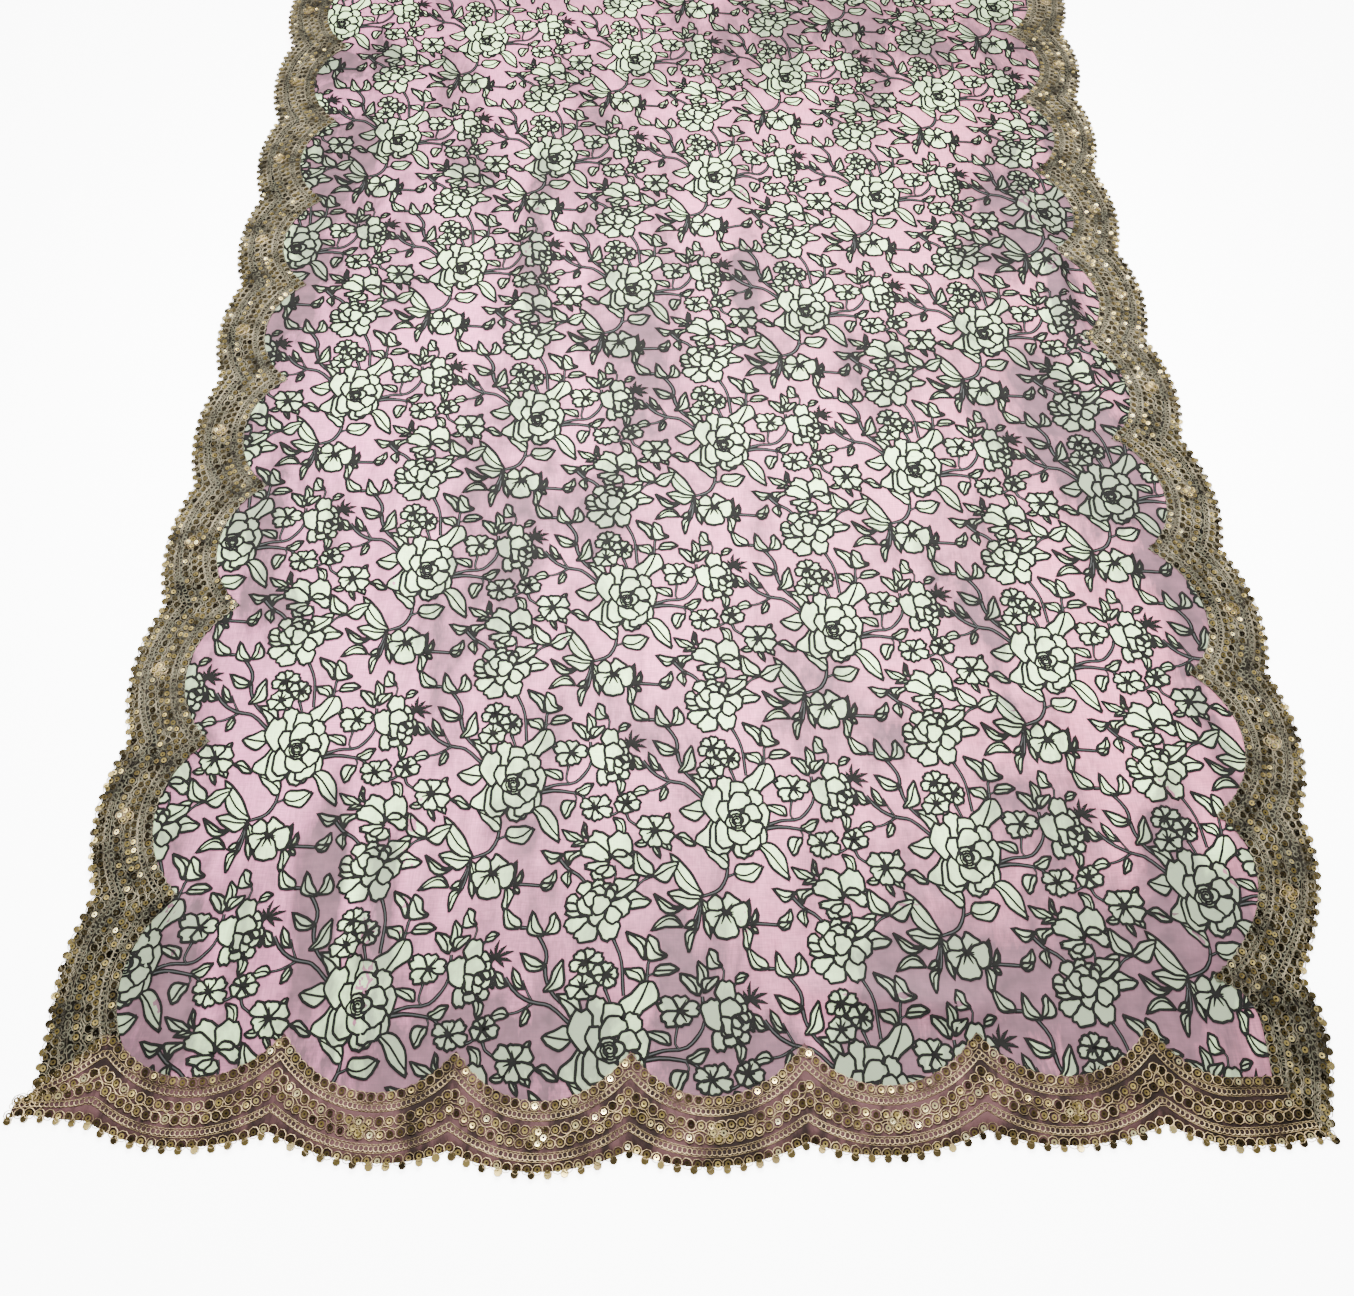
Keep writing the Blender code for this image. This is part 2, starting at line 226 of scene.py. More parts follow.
# Bands of painted shade on the cloth, where folds and the fall-off of the lamps would shade it,
# in the same columns, with a strength for the height. A band with a strength below nothing is
# a painted highlight.
PAINTED_SHADE_BANDS = [
    (-0.460, 0.010, -0.240, -0.020, 0.045, 0.80), (-0.405, -0.300, -0.400, -0.720, 0.034, 0.50),
    (-0.175, -0.120, -0.170, -0.440, 0.022, 0.60), (0.045, -0.050, 0.050, -0.430, 0.024, 0.65),
    (0.055, -0.430, 0.060, -0.640, 0.026, 0.30), (0.360, -0.230, 0.385, -0.500, 0.032, 0.75),
    (0.340, -0.420, 0.350, -0.690, 0.040, 0.35), (0.415, -0.020, 0.400, -0.260, 0.030, 0.70),
    (0.410, -0.640, 0.430, -0.810, 0.036, 0.80), (0.210, -0.680, 0.260, -0.820, 0.036, 0.45),
    (0.110, -0.885, 0.330, -0.815, 0.034, 0.55), (0.060, -1.040, 0.310, -1.052, 0.032, 0.60),
    (0.260, -1.085, 0.430, -1.000, 0.055, 0.85), (0.352, -0.900, 0.372, -1.040, 0.024, 0.80),
    (-0.030, -0.990, -0.008, -1.120, 0.030, 0.75), (-0.010, -1.098, 0.080, -1.100, 0.030, 0.60),
    (-0.230, -1.092, -0.030, -1.098, 0.036, 0.60), (-0.246, -0.930, -0.238, -1.080, 0.018, 0.75),
    (-0.290, -0.860, -0.286, -1.070, 0.018, 0.65), (-0.392, -0.980, -0.382, -1.120, 0.026, 0.75),
    (-0.190, -0.640, -0.300, -0.900, 0.034, 0.25), (0.090, 0.080, 0.340, 0.050, 0.070, 0.45),
    (-0.340, 0.100, -0.050, 0.130, 0.080, 0.45), (-0.265, -0.900, -0.266, -1.060, 0.012, -0.80),
    (0.400, -0.820, 0.400, -0.980, 0.028, -0.70), (0.085, -0.090, 0.080, -0.230, 0.034, -0.60),
    (-0.300, -0.180, -0.220, -0.460, 0.050, -0.40), (0.000, -0.420, 0.150, -0.640, 0.070, -0.35),
    (-0.360, -1.000, -0.358, -1.100, 0.012, -0.60), (-0.200, 0.300, -0.160, 0.700, 0.040, 0.45),
    (0.250, 0.420, 0.200, 0.820, 0.036, 0.50), (-0.320, 0.620, -0.380, 1.050, 0.040, 0.45),
    (0.020, 0.900, 0.330, 1.000, 0.050, 0.50), (-0.250, 1.060, 0.060, 1.070, 0.040, 0.55),
    (-0.412, 0.200, -0.405, -1.100, 0.085, 0.50), (0.405, 0.200, 0.410, -1.000, 0.070, 0.42),
    (0.350, 0.300, 0.360, -0.750, 0.120, 0.20),
    (-0.420, -1.135, 0.420, -1.135, 0.095, 0.58),
]
# Faint waviness of the whole sheet: waves per metre in x and in y, height, start of the wave.
RIPPLES = [(5.1, 1.3, 0.00050, 0.4), (2.2, 6.4, 0.00040, 2.1), (9.7, 2.9, 0.00028, 4.0),
           (4.3, 11.2, 0.00022, 1.2)]
SWELL_HEIGHT = 0.014
SWELL_FROM_Y = -0.240
SWELL_TO_Y = 0.700
SWELL_FULL_X = -0.330
SWELL_NONE_X = 0.340


# %% Height of the cloth
def smooth_step(value):
    value = np.clip(value, 0.0, 1.0)
    return value * value * (3.0 - 2.0 * value)


def ridge(x, y, row):
    """Height that one soft ridge adds, with both its ends fading out."""
    ax, ay, bx, by, half_width, top = row
    dx, dy = bx - ax, by - ay
    share = ((x - ax) * dx + (y - ay) * dy) / (dx * dx + dy * dy)
    inside = np.clip(share, 0.0, 1.0)
    away = np.hypot(x - ax - inside * dx, y - ay - inside * dy)
    ends = smooth_step(share * 4.0) * smooth_step((1.0 - share) * 4.0)
    return top * ends * 0.5 * (1.0 + np.cos(math.pi * np.minimum(away / half_width, 1.0)))


def lift(x, y):
    """Height of the cloth's underside over the floor, for arrays of places."""
    x, y = np.asarray(x, float), np.asarray(y, float)
    along = np.clip((y - SWELL_FROM_Y) / (SWELL_TO_Y - SWELL_FROM_Y), 0.0, 1.0)
    across = (SWELL_NONE_X - x) / (SWELL_NONE_X - SWELL_FULL_X)
    height = SWELL_HEIGHT * 0.5 * (1.0 - np.cos(2.0 * math.pi * along)) * smooth_step(across)
    for row in FOLDS + CREASES:
        height = height + ridge(x, y, row)
    for wave_x, wave_y, top, start in RIPPLES:
        phase = 2.0 * math.pi * (wave_x * x + wave_y * y) + start
        height = height + top * 0.5 * (1.0 + np.sin(phase))
    return height


def mark_painted_shade(piece):
    """Store on every point of a piece the painted shade that the bands put there; below nothing it is
    a painted highlight.
    """
    mesh = piece.data
    places = np.zeros(3 * len(mesh.vertices))
    mesh.vertices.foreach_get("co", places)
    x, y = places[0::3], places[1::3]
    band = sum(ridge(x, y, row) for row in PAINTED_SHADE_BANDS)
    mark = mesh.attributes.new("band", "FLOAT", "POINT")
    mark.data.foreach_set("value", band)


NET_TOP = CLOTH_WALL + NET_GAP + NET_WALL
print("cloth height over the floor at the middle:", round(float(lift(0.0, 0.0)) * 1000, 2), "mm")


# %% Plan of the border
def smooth_line(rows, place):
    """Height of the smooth curve through the rows, level beyond both ends."""
    if place <= rows[0][0]:
        return rows[0][1]
    if place >= rows[-1][0]:
        return rows[-1][1]
    index = max(i for i, row in enumerate(rows[:-1]) if row[0] <= place)
    (a, low), (b, high) = rows[index], rows[index + 1]
    slope_a = slope_b = 0.0
    if index > 0:
        before = rows[index - 1]
        slope_a = (high - before[1]) / (b - before[0])
    if index < len(rows) - 2:
        after = rows[index + 2]
        slope_b = (after[1] - low) / (after[0] - a)
    width = b - a
    t = (place - a) / width
    return ((2 * t**3 - 3 * t**2 + 1) * low + (t**3 - 2 * t**2 + t) * width * slope_a
            + (3 * t**2 - 2 * t**3) * high + (t**3 - t**2) * width * slope_b)


def arc_share(share, half, drop):
    """Depth of a round scallop at a share of the way from its cusp to its middle."""
    radius = (half * half + drop * drop) / (2.0 * drop)
    across = half * (1.0 - share)
    return (math.sqrt(radius * radius - across * across) - (radius - drop)) / drop


class TrimLength:
    """One length of the border: where its cusps fall and how deep its rows run."""

    def __init__(self, name, rows, outward, along_x, first, pitch):
        self.name = name
        self.rows = rows
        self.outward = outward
        self.along_x = along_x
        self.pitch = pitch
        self.start = rows[0][0]
        self.span = rows[-1][0] - self.start
        count = int((self.span - first) / pitch + 1e-6) + 1
        self.cusps = [first + k * pitch for k in range(count)]
        self.starts_on = None              # another length and its edge, where there is no mitre

    def depth(self, along, edge):
        """Outward depth of a row at a distance along from the start corner."""
        at_cusp, drop = edge
        half = self.pitch / 2.0
        first, last = self.cusps[0], self.cusps[-1]
        if along < first and first <= half * SQUARE_CORNER:
            share = min(1.0, (first - along) / first)
            half = first
        elif along > last and self.span - last <= half * SQUARE_CORNER:
            half = self.span - last
            share = min(1.0, (along - last) / half)
        else:
            beyond = (along - first) % self.pitch
            share = min(beyond, self.pitch - beyond) / half
        return at_cusp + drop * arc_share(share, half, drop)

    def point(self, along, depth):
        """Place on the floor of a point this far along and this far out."""
        place = self.start + along
        across = smooth_line(self.rows, place) + self.outward * depth
        x, y = (place, across) if self.along_x else (across, place)
        spot = Vector((x, y))
        for corner_x, corner_y, reach, shift_x, shift_y in SHIFTED_CORNERS:
            near = math.hypot(x - corner_x, y - corner_y) / reach
            spot += math.exp(-near * near) * Vector((shift_x, shift_y))
        return spot

    def mitre(self, edge, at_end):
        """Depth at which a row meets the corner's diagonal."""
        depth = edge[0] + edge[1] / 2.0
        for _ in range(40):
            along = self.span + depth if at_end else -depth
            depth = 0.5 * (depth + self.depth(along, edge))
        return depth

    def butt(self, edge):
        """How far before its start corner a row meets the length that it starts on."""
        other, other_edge = self.starts_on
        start = other_edge[0] + other_edge[1] / 2.0
        for _ in range(40):
            start = 0.5 * (start + other.depth(-self.depth(-start, edge), other_edge))
        return start

    def row(self, edge, mitred=False):
        """Points of a row from corner to corner, the same number whatever its depth."""
        start, end = self.mitre(edge, False), self.mitre(edge, True)
        if self.starts_on and not mitred:
            start = self.butt(edge)
        shares = [k / CORNER_STEPS for k in range(1, CORNER_STEPS + 1)]
        points = [self.point(-start * k, self.depth(-start * k, edge)) for k in reversed(shares)]
        knots = [0.0] + self.cusps + [self.span]
        for low, high in zip(knots, knots[1:]):
            steps = max(1, round(SCALLOP_STEPS * (high - low) / self.pitch))
            for k in range(steps):
                along = low + (high - low) * k / steps
                points.append(self.point(along, self.depth(along, edge)))
        points.append(self.point(self.span, self.depth(self.span, edge)))
        points += [self.point(self.span + end * k, self.depth(self.span + end * k, edge))
                   for k in shares]
        return points


lengths = [TrimLength(*row) for row in TRIM_LENGTHS]
near_length, left_length = lengths[0], lengths[3]
# At the near left corner the near length runs out to the tip, and the left one ends on it.
near_length.starts_on = (left_length, OUTER_EDGE)
left_length.starts_on = (near_length, INNER_EDGE)
scallops = sum(length.span / length.pitch for length in lengths)
print("scallops round the border:", round(scallops))


# %% [markdown]
# ## Small helpers
#
# Three helpers save much typing. One turns plain lists into an object, one builds a node tree a
# node at a time, and one runs a geometry node tree on a simple start mesh and keeps the result
# as an ordinary mesh, so that nothing is left to work out when the scene is drawn.

# %% Mesh objects
def new_object(name, points, faces, edges=(), smooth=True):
    mesh = bpy.data.meshes.new(name)
    mesh.from_pydata([tuple(p) for p in points], list(edges), [tuple(f) for f in faces])
    mesh.update()
    if smooth and len(faces):
        mesh.shade_smooth()
    made = bpy.data.objects.new(name, mesh)
    bpy.context.scene.collection.objects.link(made)
    return made


def triangle_count(made):
    return sum(len(face.vertices) - 2 for face in made.data.polygons)


# %% Node trees
class Nodes:
    """Grows a node tree a node at a time. Most calls give back the socket that matters."""

    def __init__(self, tree):
        self.tree = tree

    def link(self, source, target):
        self.tree.links.new(source, target)

    def add(self, kind, sockets=None, **settings):
        """A node with its settings made and its sockets linked or given plain values."""
        node = self.tree.nodes.new(kind)
        for name, value in settings.items():
            setattr(node, name, value)
        for key, source in (sockets or {}).items():
            if isinstance(source, bpy.types.NodeSocket):
                self.link(source, node.inputs[key])
            else:
                node.inputs[key].default_value = source
        return node

    def maths(self, operation, *values, **settings):
        node = self.add("ShaderNodeMath", dict(enumerate(values)), operation=operation, **settings)
        return node.outputs[0]

    def vector(self, operation, *values):
        node = self.add("ShaderNodeVectorMath", dict(enumerate(values)), operation=operation)
        return node.outputs[0]

    def scaled(self, vector, factor):
        node = self.add("ShaderNodeVectorMath", {0: vector, "Scale": factor}, operation="SCALE")
        return node.outputs[0]

    def parts(self, vector):
        return self.add("ShaderNodeSeparateXYZ", {"Vector": vector}).outputs

    def ranged(self, value, start, end, low=0.0, high=1.0, smooth=False):
        """How far a value is on its way from start to end, put between low and high."""
        node = self.add("ShaderNodeMapRange", {"Value": value, "From Min": start, "From Max": end,
                                               "To Min": low, "To Max": high},
                        interpolation_type="SMOOTHSTEP" if smooth else "LINEAR")
        return node.outputs["Result"]

    def place(self):
        """The object's own coordinates."""
        return self.add("ShaderNodeTexCoord").outputs["Object"]

    def noise(self, place, scale, detail, roughness=0.5, distortion=0.0):
        node = self.add("ShaderNodeTexNoise", {"Vector": place, "Scale": scale, "Detail": detail,
                                               "Roughness": roughness, "Distortion": distortion})
        return node.outputs["Fac"]


class NodeTree(Nodes):
    """A node group. Columns of its sockets: label, kind, and the usual value if there is one."""

    def __init__(self, name, kind, inputs, outputs):
        super().__init__(bpy.data.node_groups.new(name, kind))
        for direction, sockets in (("INPUT", inputs), ("OUTPUT", outputs)):
            for label, socket_kind, *usual in sockets:
                socket = self.tree.interface.new_socket(label, in_out=direction,
                                                        socket_type="NodeSocket" + socket_kind)
                if usual:
                    socket.default_value = usual[0]
        self.inputs = self.tree.nodes.new("NodeGroupInput").outputs
        self.outputs = self.tree.nodes.new("NodeGroupOutput").inputs


class GeometryTree(NodeTree):
    """A node group that grows a mesh from a start mesh and gives all of it one finish."""

    def __init__(self, name, inputs):
        super().__init__(name, "GeometryNodeTree",
                         [("Geometry", "Geometry"), *inputs, ("Finish", "Material")],
                         [("Geometry", "Geometry")])

    def position(self):
        return self.add("GeometryNodeInputPosition").outputs[0]

    def moved(self, geometry, **where):
        return self.add("GeometryNodeSetPosition", {"Geometry": geometry, **where}).outputs[0]

    def without(self, geometry, selection):
        node = self.add("GeometryNodeDeleteGeometry", {"Geometry": geometry,
                                                       "Selection": selection}, domain="POINT")
        return node.outputs[0]

    def boolean(self, operation, *values):
        node = self.add("FunctionNodeBooleanMath", dict(enumerate(values)), operation=operation)
        return node.outputs[0]

    def shape_of(self, label):
        return self.add("GeometryNodeObjectInfo", {"Object": self.inputs[label]}).outputs["Geometry"]

    def even_path(self):
        """The start mesh's edges as curves, with points as far apart as the spacing."""
        path = self.add("GeometryNodeMeshToCurve", {"Mesh": self.inputs["Geometry"]})
        node = self.add("GeometryNodeResampleCurve", {"Curve": path.outputs[0],
                                                      "Length": self.inputs["Spacing"]}, mode="LENGTH")
        return node.outputs[0]

    def finished(self, geometry, smooth):
        """Link the geometry to the output, with its finish. Gives back the whole tree."""
        if smooth:
            geometry = self.add("GeometryNodeSetShadeSmooth", {"Geometry": geometry}).outputs[0]
        done = self.add("GeometryNodeSetMaterial", {"Geometry": geometry,
                                                    "Material": self.inputs["Finish"]})
        self.link(done.outputs[0], self.outputs["Geometry"])
        return self.tree


def grow(name, start, tree, values):
    """Run a geometry node tree on a start object and keep what it makes as a plain mesh."""
    modifier = start.modifiers.new("grow", "NODES")
    modifier.node_group = tree
    for item in tree.interface.items_tree:
        if item.item_type == "SOCKET" and item.in_out == "INPUT" and item.name in values:
            modifier[item.identifier] = values[item.name]
    graph = bpy.context.evaluated_depsgraph_get()
    mesh = bpy.data.meshes.new_from_object(start.evaluated_get(graph))
    mesh.name = name
    start.modifiers.remove(modifier)
    bpy.data.objects.remove(start, do_unlink=True)
    made = bpy.data.objects.new(name, mesh)
    bpy.context.scene.collection.objects.link(made)
    print(f"{name}: {triangle_count(made)} triangles")
    return made


# %% [markdown]
# ## Finishes
#
# Each finish is a Principled shader with its own colour, roughness and bump. What several of
# them share is built once as a shader node group: the slow drift of tone over the cloth, with
# painted shade in it, and the threads of the weave. Both read the object's own coordinates, so
# that the pattern stays on the cloth from every side.

# %% Shared effect: tone that drifts over the cloth, with painted shade
def make_tone_and_shade_group():
    made = NodeTree("cloth tone", "ShaderNodeTree",
                    [("Patch size", "Float", 3.2), ("Streak size", "Float", 11.0)],
                    [("Shade", "Float"), ("Mottle", "Float"), ("Slub", "Float")])
    place = made.place()
    patches = made.noise(place, made.inputs["Patch size"], 6.0, 0.62, 0.6)
    stretch = made.add("ShaderNodeMapping", {"Vector": place, "Scale": (1.0, 0.42, 1.0),
                                             "Rotation": (0.0, 0.0, 0.05)})
    streaks = made.noise(stretch.outputs["Vector"], made.inputs["Streak size"], 6.0, 0.68, 0.4)
    both = made.add("ShaderNodeMix", {"Factor": 0.55, "A": patches, "B": streaks},
                    data_type="FLOAT")
    drift = made.ranged(both.outputs["Result"], 0.395, 0.555, smooth=True)
    # Painted shade: the near end is darker, standing in for the light falling off there, more so in
    # some streaks than in others.
    y = made.parts(place)["Y"]
    near = made.ranged(y, -0.86, -1.06, smooth=True)
    painted_shade = made.maths("MULTIPLY", near, made.ranged(streaks, 0.38, 0.58, 1.0, 0.42))
    whole = made.maths("MULTIPLY", drift, made.maths("SUBTRACT", 1.0, painted_shade))
    # Painted shade along the bands marked on the cloth, where folds would shade it, uneven in the same
    # way; bands below nothing are painted highlights.
    band = made.add("ShaderNodeAttribute", attribute_name="band").outputs["Fac"]
    band_shade = made.maths("MULTIPLY", band, made.ranged(streaks, 0.34, 0.62, 1.5, 0.45))
    left_over = made.maths("SUBTRACT", whole, band_shade, use_clamp=True)
    # The far half is more even.
    shade = made.maths("MAXIMUM", left_over, made.ranged(y, 0.02, 0.40, 0.0, 0.55))
    # Thick and thin places in single threads, along and across the cloth.
    threads = [made.noise(made.vector("MULTIPLY", place, scale), 1.0, 2.0)
               for scale in ((900.0, 90.0, 1.0), (90.0, 900.0, 1.0))]
    slub = made.ranged(made.maths("ADD", *threads), 0.8, 1.2)
    mottle = made.noise(place, 70.0, 2.0, 0.6)
    for label, socket in (("Shade", shade), ("Mottle", mottle), ("Slub", slub)):
        made.link(socket, made.outputs[label])
    return made.tree


tone_and_shade_group = make_tone_and_shade_group()


# %% Shared effect: the threads of a plain weave
def make_weave_group():
    made = NodeTree("plain weave", "ShaderNodeTree", [("Threads per metre", "Float", 1400.0)],
                    [("Height", "Float")])
    place = made.place()
    scale = made.maths("MULTIPLY", made.inputs["Threads per metre"], 0.05)
    waves = [made.add("ShaderNodeTexWave", {"Vector": place, "Scale": scale, "Distortion": 0.6,
                                            "Detail": 1.0, "Detail Scale": 1.0},
                      wave_type="BANDS", bands_direction=direction, wave_profile="SIN")
             for direction in ("X", "Y")]
    height = made.maths("MAXIMUM", *(wave.outputs["Fac"] for wave in waves))
    made.link(height, made.outputs["Height"])
    return made.tree


weave_group = make_weave_group()


# %% A helper for materials
class Finish(Nodes):
    """A material with one Principled shader, whose plain values are set on its own sockets."""

    def __init__(self, name, **plain):
        self.material = bpy.data.materials.new(name)
        self.material.use_nodes = True
        super().__init__(self.material.node_tree)
        self.shader = self.tree.nodes["Principled BSDF"]
        for key, value in plain.items():
            self.shader.inputs[key.replace("_", " ")].default_value = value

    def group(self, tree, sockets=None):
        return self.add("ShaderNodeGroup", sockets, node_tree=tree).outputs

    def mix(self, share, one, other):
        """Colour between two colours, each a socket or a plain colour."""
        colours = [colour if isinstance(colour, bpy.types.NodeSocket) else (*colour, 1.0)
                   for colour in (one, other)]
        node = self.add("ShaderNodeMix", {"Factor": share, 6: colours[0], 7: colours[1]},
                        data_type="RGBA")
        return node.outputs[2]

    def outside(self, value, middle, inner, outer, most=1.0):
        """A mask that is full within inner of the middle value and gone beyond outer."""
        away = self.maths("ABSOLUTE", self.maths("SUBTRACT", value, middle))
        return self.ranged(away, inner, outer, most, 0.0)

    def into(self, key, socket):
        self.link(socket, self.shader.inputs[key])

    def bump(self, height, strength, distance):
        node = self.add("ShaderNodeBump", {"Height": height, "Strength": strength,
                                           "Distance": distance})
        self.into("Normal", node.outputs["Normal"])


# %% Cloth, print and net
PINK_LEFT = (0.67, 0.202, 0.375)
PINK_RIGHT = (0.69, 0.200, 0.305)
# The next two colours are the pink's painted shade, used where the tone's Shade is low; the first also
# darkens thin threads.
PINK_SHADE = (0.090, 0.052, 0.063)
PINK_SHADE_FLECK = (0.300, 0.125, 0.175)
PINK_FLECK = (0.82, 0.31, 0.46)
CREAM_LIGHT = (0.70, 1.0, 0.48)
CREAM_SHADE = (0.185, 0.225, 0.148)
INK = (0.0075, 0.0075, 0.0070)
INK_MOTTLE = 1.7                       # how much paler the ink gets in places
STEM_CORE = (0.040, 0.042, 0.042)
MAUVE_SHADE = (0.016, 0.011, 0.010)
MAUVE_LIGHT = (0.125, 0.062, 0.064)
# The long sides' net is nearly black: painted shade for the deep gaps between the dense threads, under
# its rings of grey thread.
OLIVE_SHADE = (0.0012, 0.0011, 0.0008)
OLIVE_LIGHT = (0.016, 0.014, 0.011)
CORNER_NET = (0.006, 0.0055, 0.004)
GREY_THREAD = (0.175, 0.172, 0.118)
SILK = {"Roughness": 0.55, "Sheen_Weight": 0.06, "Sheen_Roughness": 0.4, "Specular_IOR_Level": 0.10}
MATT = {"Roughness": 0.7, "Specular_IOR_Level": 0.02}


def weave_over(made, slub, slub_share, ground, thin_colour):
    """Silk's colour, darker where its threads are thin, and the bump of its weave."""
    thin = made.maths("MULTIPLY", slub, slub_share)
    made.into("Base Color", made.mix(thin, ground, thin_colour))
    made.bump(made.group(weave_group)["Height"], 0.25, 0.0002)
    return made.material


def make_cloth_finish():
    made = Finish("printed silk ground", **SILK)
    tone = made.group(tone_and_shade_group)
    pink = made.mix(made.ranged(made.parts(made.place())["X"], -0.35, 0.30), PINK_LEFT, PINK_RIGHT)
    flecks = made.ranged(tone["Mottle"], 0.3, 0.75, 0.0, 0.40)
    lit_pink = made.mix(flecks, pink, PINK_FLECK)
    # Painted shade: where the tone's Shade is low the pink goes over to the dark shaded pink.
    painted_shade = made.mix(flecks, PINK_SHADE, PINK_SHADE_FLECK)
    return weave_over(made, tone["Slub"], 0.38, made.mix(tone["Shade"], painted_shade, lit_pink), PINK_SHADE)


def make_cream_finish():
    made = Finish("cream print", **SILK)
    tone = made.group(tone_and_shade_group)
    # The cream takes the same painted shade as the pink ground.
    cream = made.mix(tone["Shade"], CREAM_SHADE, CREAM_LIGHT)
    return weave_over(made, tone["Slub"], 0.22, cream, CREAM_SHADE)


def make_line_finish():
    made = Finish("black print line", **MATT)
    paler = tuple(c * INK_MOTTLE for c in INK)
    made.into("Base Color", made.mix(made.group(tone_and_shade_group)["Mottle"], INK, paler))
    return made.material


def make_stem_finish():
    """Black with a paler core, which follows the strip's own map."""
    made = Finish("black print stem", **MATT)
    strip = made.add("ShaderNodeUVMap", uv_map="strip").outputs["UV"]
    core = made.outside(made.parts(strip)["Y"], 0.5, 0.09, 0.18)
    made.into("Base Color", made.mix(core, INK, STEM_CORE))
    return made.material


def make_net_finish(name, low, high, cover, rings):
    made = Finish(name, Alpha=cover, **MATT)
    tone = made.group(tone_and_shade_group, {"Patch size": 14.0, "Streak size": 40.0})
    # The tone group's painted shade darkens the net as it does the cloth.
    ground = made.mix(tone["Shade"], low, high)
    place = made.place()
    if rings:
        # Small rings of thread worked all over the net between the rows.
        cells = made.add("ShaderNodeTexVoronoi", {"Vector": place, "Scale": 190.0,
                                                  "Randomness": 0.75}, voronoi_dimensions="2D")
        ring = made.outside(cells.outputs["Distance"], 0.36, 0.06, 0.12, rings)
        ground = made.mix(ring, ground, GREY_THREAD)
    else:
        # Towards the right corner the short ends' net darkens to match the long sides' net.
        end = made.ranged(made.parts(place)["X"], 0.26, 0.40, 0.0, 0.85)
        ground = made.mix(end, ground, CORNER_NET)
    made.into("Base Color", ground)
    made.bump(made.group(weave_group, {"Threads per metre": 900.0})["Height"], 0.5, 0.0003)
    return made.material


cloth_finish = make_cloth_finish()
cream_finish = make_cream_finish()
line_finish = make_line_finish()
stem_finish = make_stem_finish()
end_net_finish = make_net_finish("mauve net", MAUVE_SHADE, MAUVE_LIGHT, 0.985, 0.0)
# The long sides' near-black net is painted shade between the threads.
side_net_finish = make_net_finish("olive net", OLIVE_SHADE, OLIVE_LIGHT, 1.0, 0.42)
print("cloth, cream, line, stem and net finishes")

# %% Gold thread and sequins
THREAD_SHADE = (0.024, 0.021, 0.0145)
THREAD_LIGHT = (0.215, 0.182, 0.118)
PALE_THREAD_SHADE = (0.100, 0.074, 0.040)
PALE_THREAD_LIGHT = (0.50, 0.375, 0.195)
# Columns: tone, colour. Around the sequins' own golds, the ramp paints dark reflections at its bottom
# and, at its top, painted glints for the few that seem to catch a lamp.
SEQUIN_TONES_AND_GLINTS = [
    (0.0, (0.006, 0.004, 0.002)), (0.25, (0.036, 0.027, 0.012)), (0.60, (0.135, 0.100, 0.037)),
    (0.76, (0.30, 0.23, 0.075)), (0.90, (0.80, 0.62, 0.22)), (1.0, (1.0, 0.91, 0.50)),
]


def make_thread_finish(name, low, high):
    made = Finish(name, Metallic=0.3, Roughness=0.55, Specular_IOR_Level=0.12)
    place = made.place()
    share = made.ranged(made.noise(place, 38.0, 3.0), 0.35, 0.65)
    made.into("Base Color", made.mix(share, low, high))
    twist = made.add("ShaderNodeTexWave", {"Vector": place, "Scale": 260.0, "Distortion": 1.5},
                     wave_type="BANDS", bands_direction="DIAGONAL")
    made.bump(twist.outputs["Fac"], 0.6, 0.0003)
    return made.material


def make_sequin_finish():
    made = Finish("antique gold sequin", Metallic=1.0)
    # The random tone paints glints on the brightest sequins and dark reflections on the darkest, along
    # with their gold.
    tone = made.add("ShaderNodeAttribute", attribute_name="tone").outputs["Fac"]
    ramp = made.add("ShaderNodeValToRGB", {"Fac": tone})
    band = ramp.color_ramp
    while len(band.elements) < len(SEQUIN_TONES_AND_GLINTS):
        band.elements.new(0.5)
    for element, (position, colour) in zip(band.elements, SEQUIN_TONES_AND_GLINTS):
        element.position = position
        element.color = (*colour, 1.0)
    made.into("Base Color", ramp.outputs["Color"])
    made.into("Roughness", made.ranged(tone, 0.0, 1.0, 0.42, 0.25))
    return made.material


side_thread_finish = make_thread_finish("antique gold thread", THREAD_SHADE, THREAD_LIGHT)
end_thread_finish = make_thread_finish("pale gold thread", PALE_THREAD_SHADE, PALE_THREAD_LIGHT)
sequin_finish = make_sequin_finish()
print("thread and sequin finishes")

# %% [markdown]
# ## The sheet of cloth
#
# The sheet could be a subdivided plane, but its scalloped edge would come out ragged. Here its
# edge is drawn first, from the border's outer row, then filled with evenly staggered points and
# joined into triangles that keep the edge. A second copy of the points below makes it a closed
# shell as thick as the cloth. The far half has wider spaced points, because its folds are plain.

# %% Outline of the sheet
def joined_outline(edge):
    """Closed outline through all four lengths of the border, counter-clockwise."""
    rows = {length.name: length.row(edge, mitred=True) for length in lengths}
    meets = [("near", -1, "right", 0), ("right", -1, "far", -1), ("far", 0, "left", -1),
             ("left", 0, "near", 0)]
    for one, at_one, other, at_other in meets:
        shared = (rows[one][at_one] + rows[other][at_other]) / 2.0
        rows[one][at_one] = shared.copy()
        rows[other][at_other] = shared.copy()
    return (rows["near"][:-1] + rows["right"][:-1] + rows["far"][::-1][:-1]
            + rows["left"][::-1][:-1])


def within(places, polygon):
    """Which of an array of places lie inside a closed polygon."""
    x, y = places[:, 0], places[:, 1]
    hit = np.zeros(len(places), bool)
    for (ax, ay), (bx, by) in zip(polygon, np.roll(polygon, 1, axis=0)):
        if ay == by:
            continue
        crosses = (ay > y) != (by > y)
        hit ^= crosses & (x < ax + (bx - ax) * (y - ay) / (by - ay))
    return hit


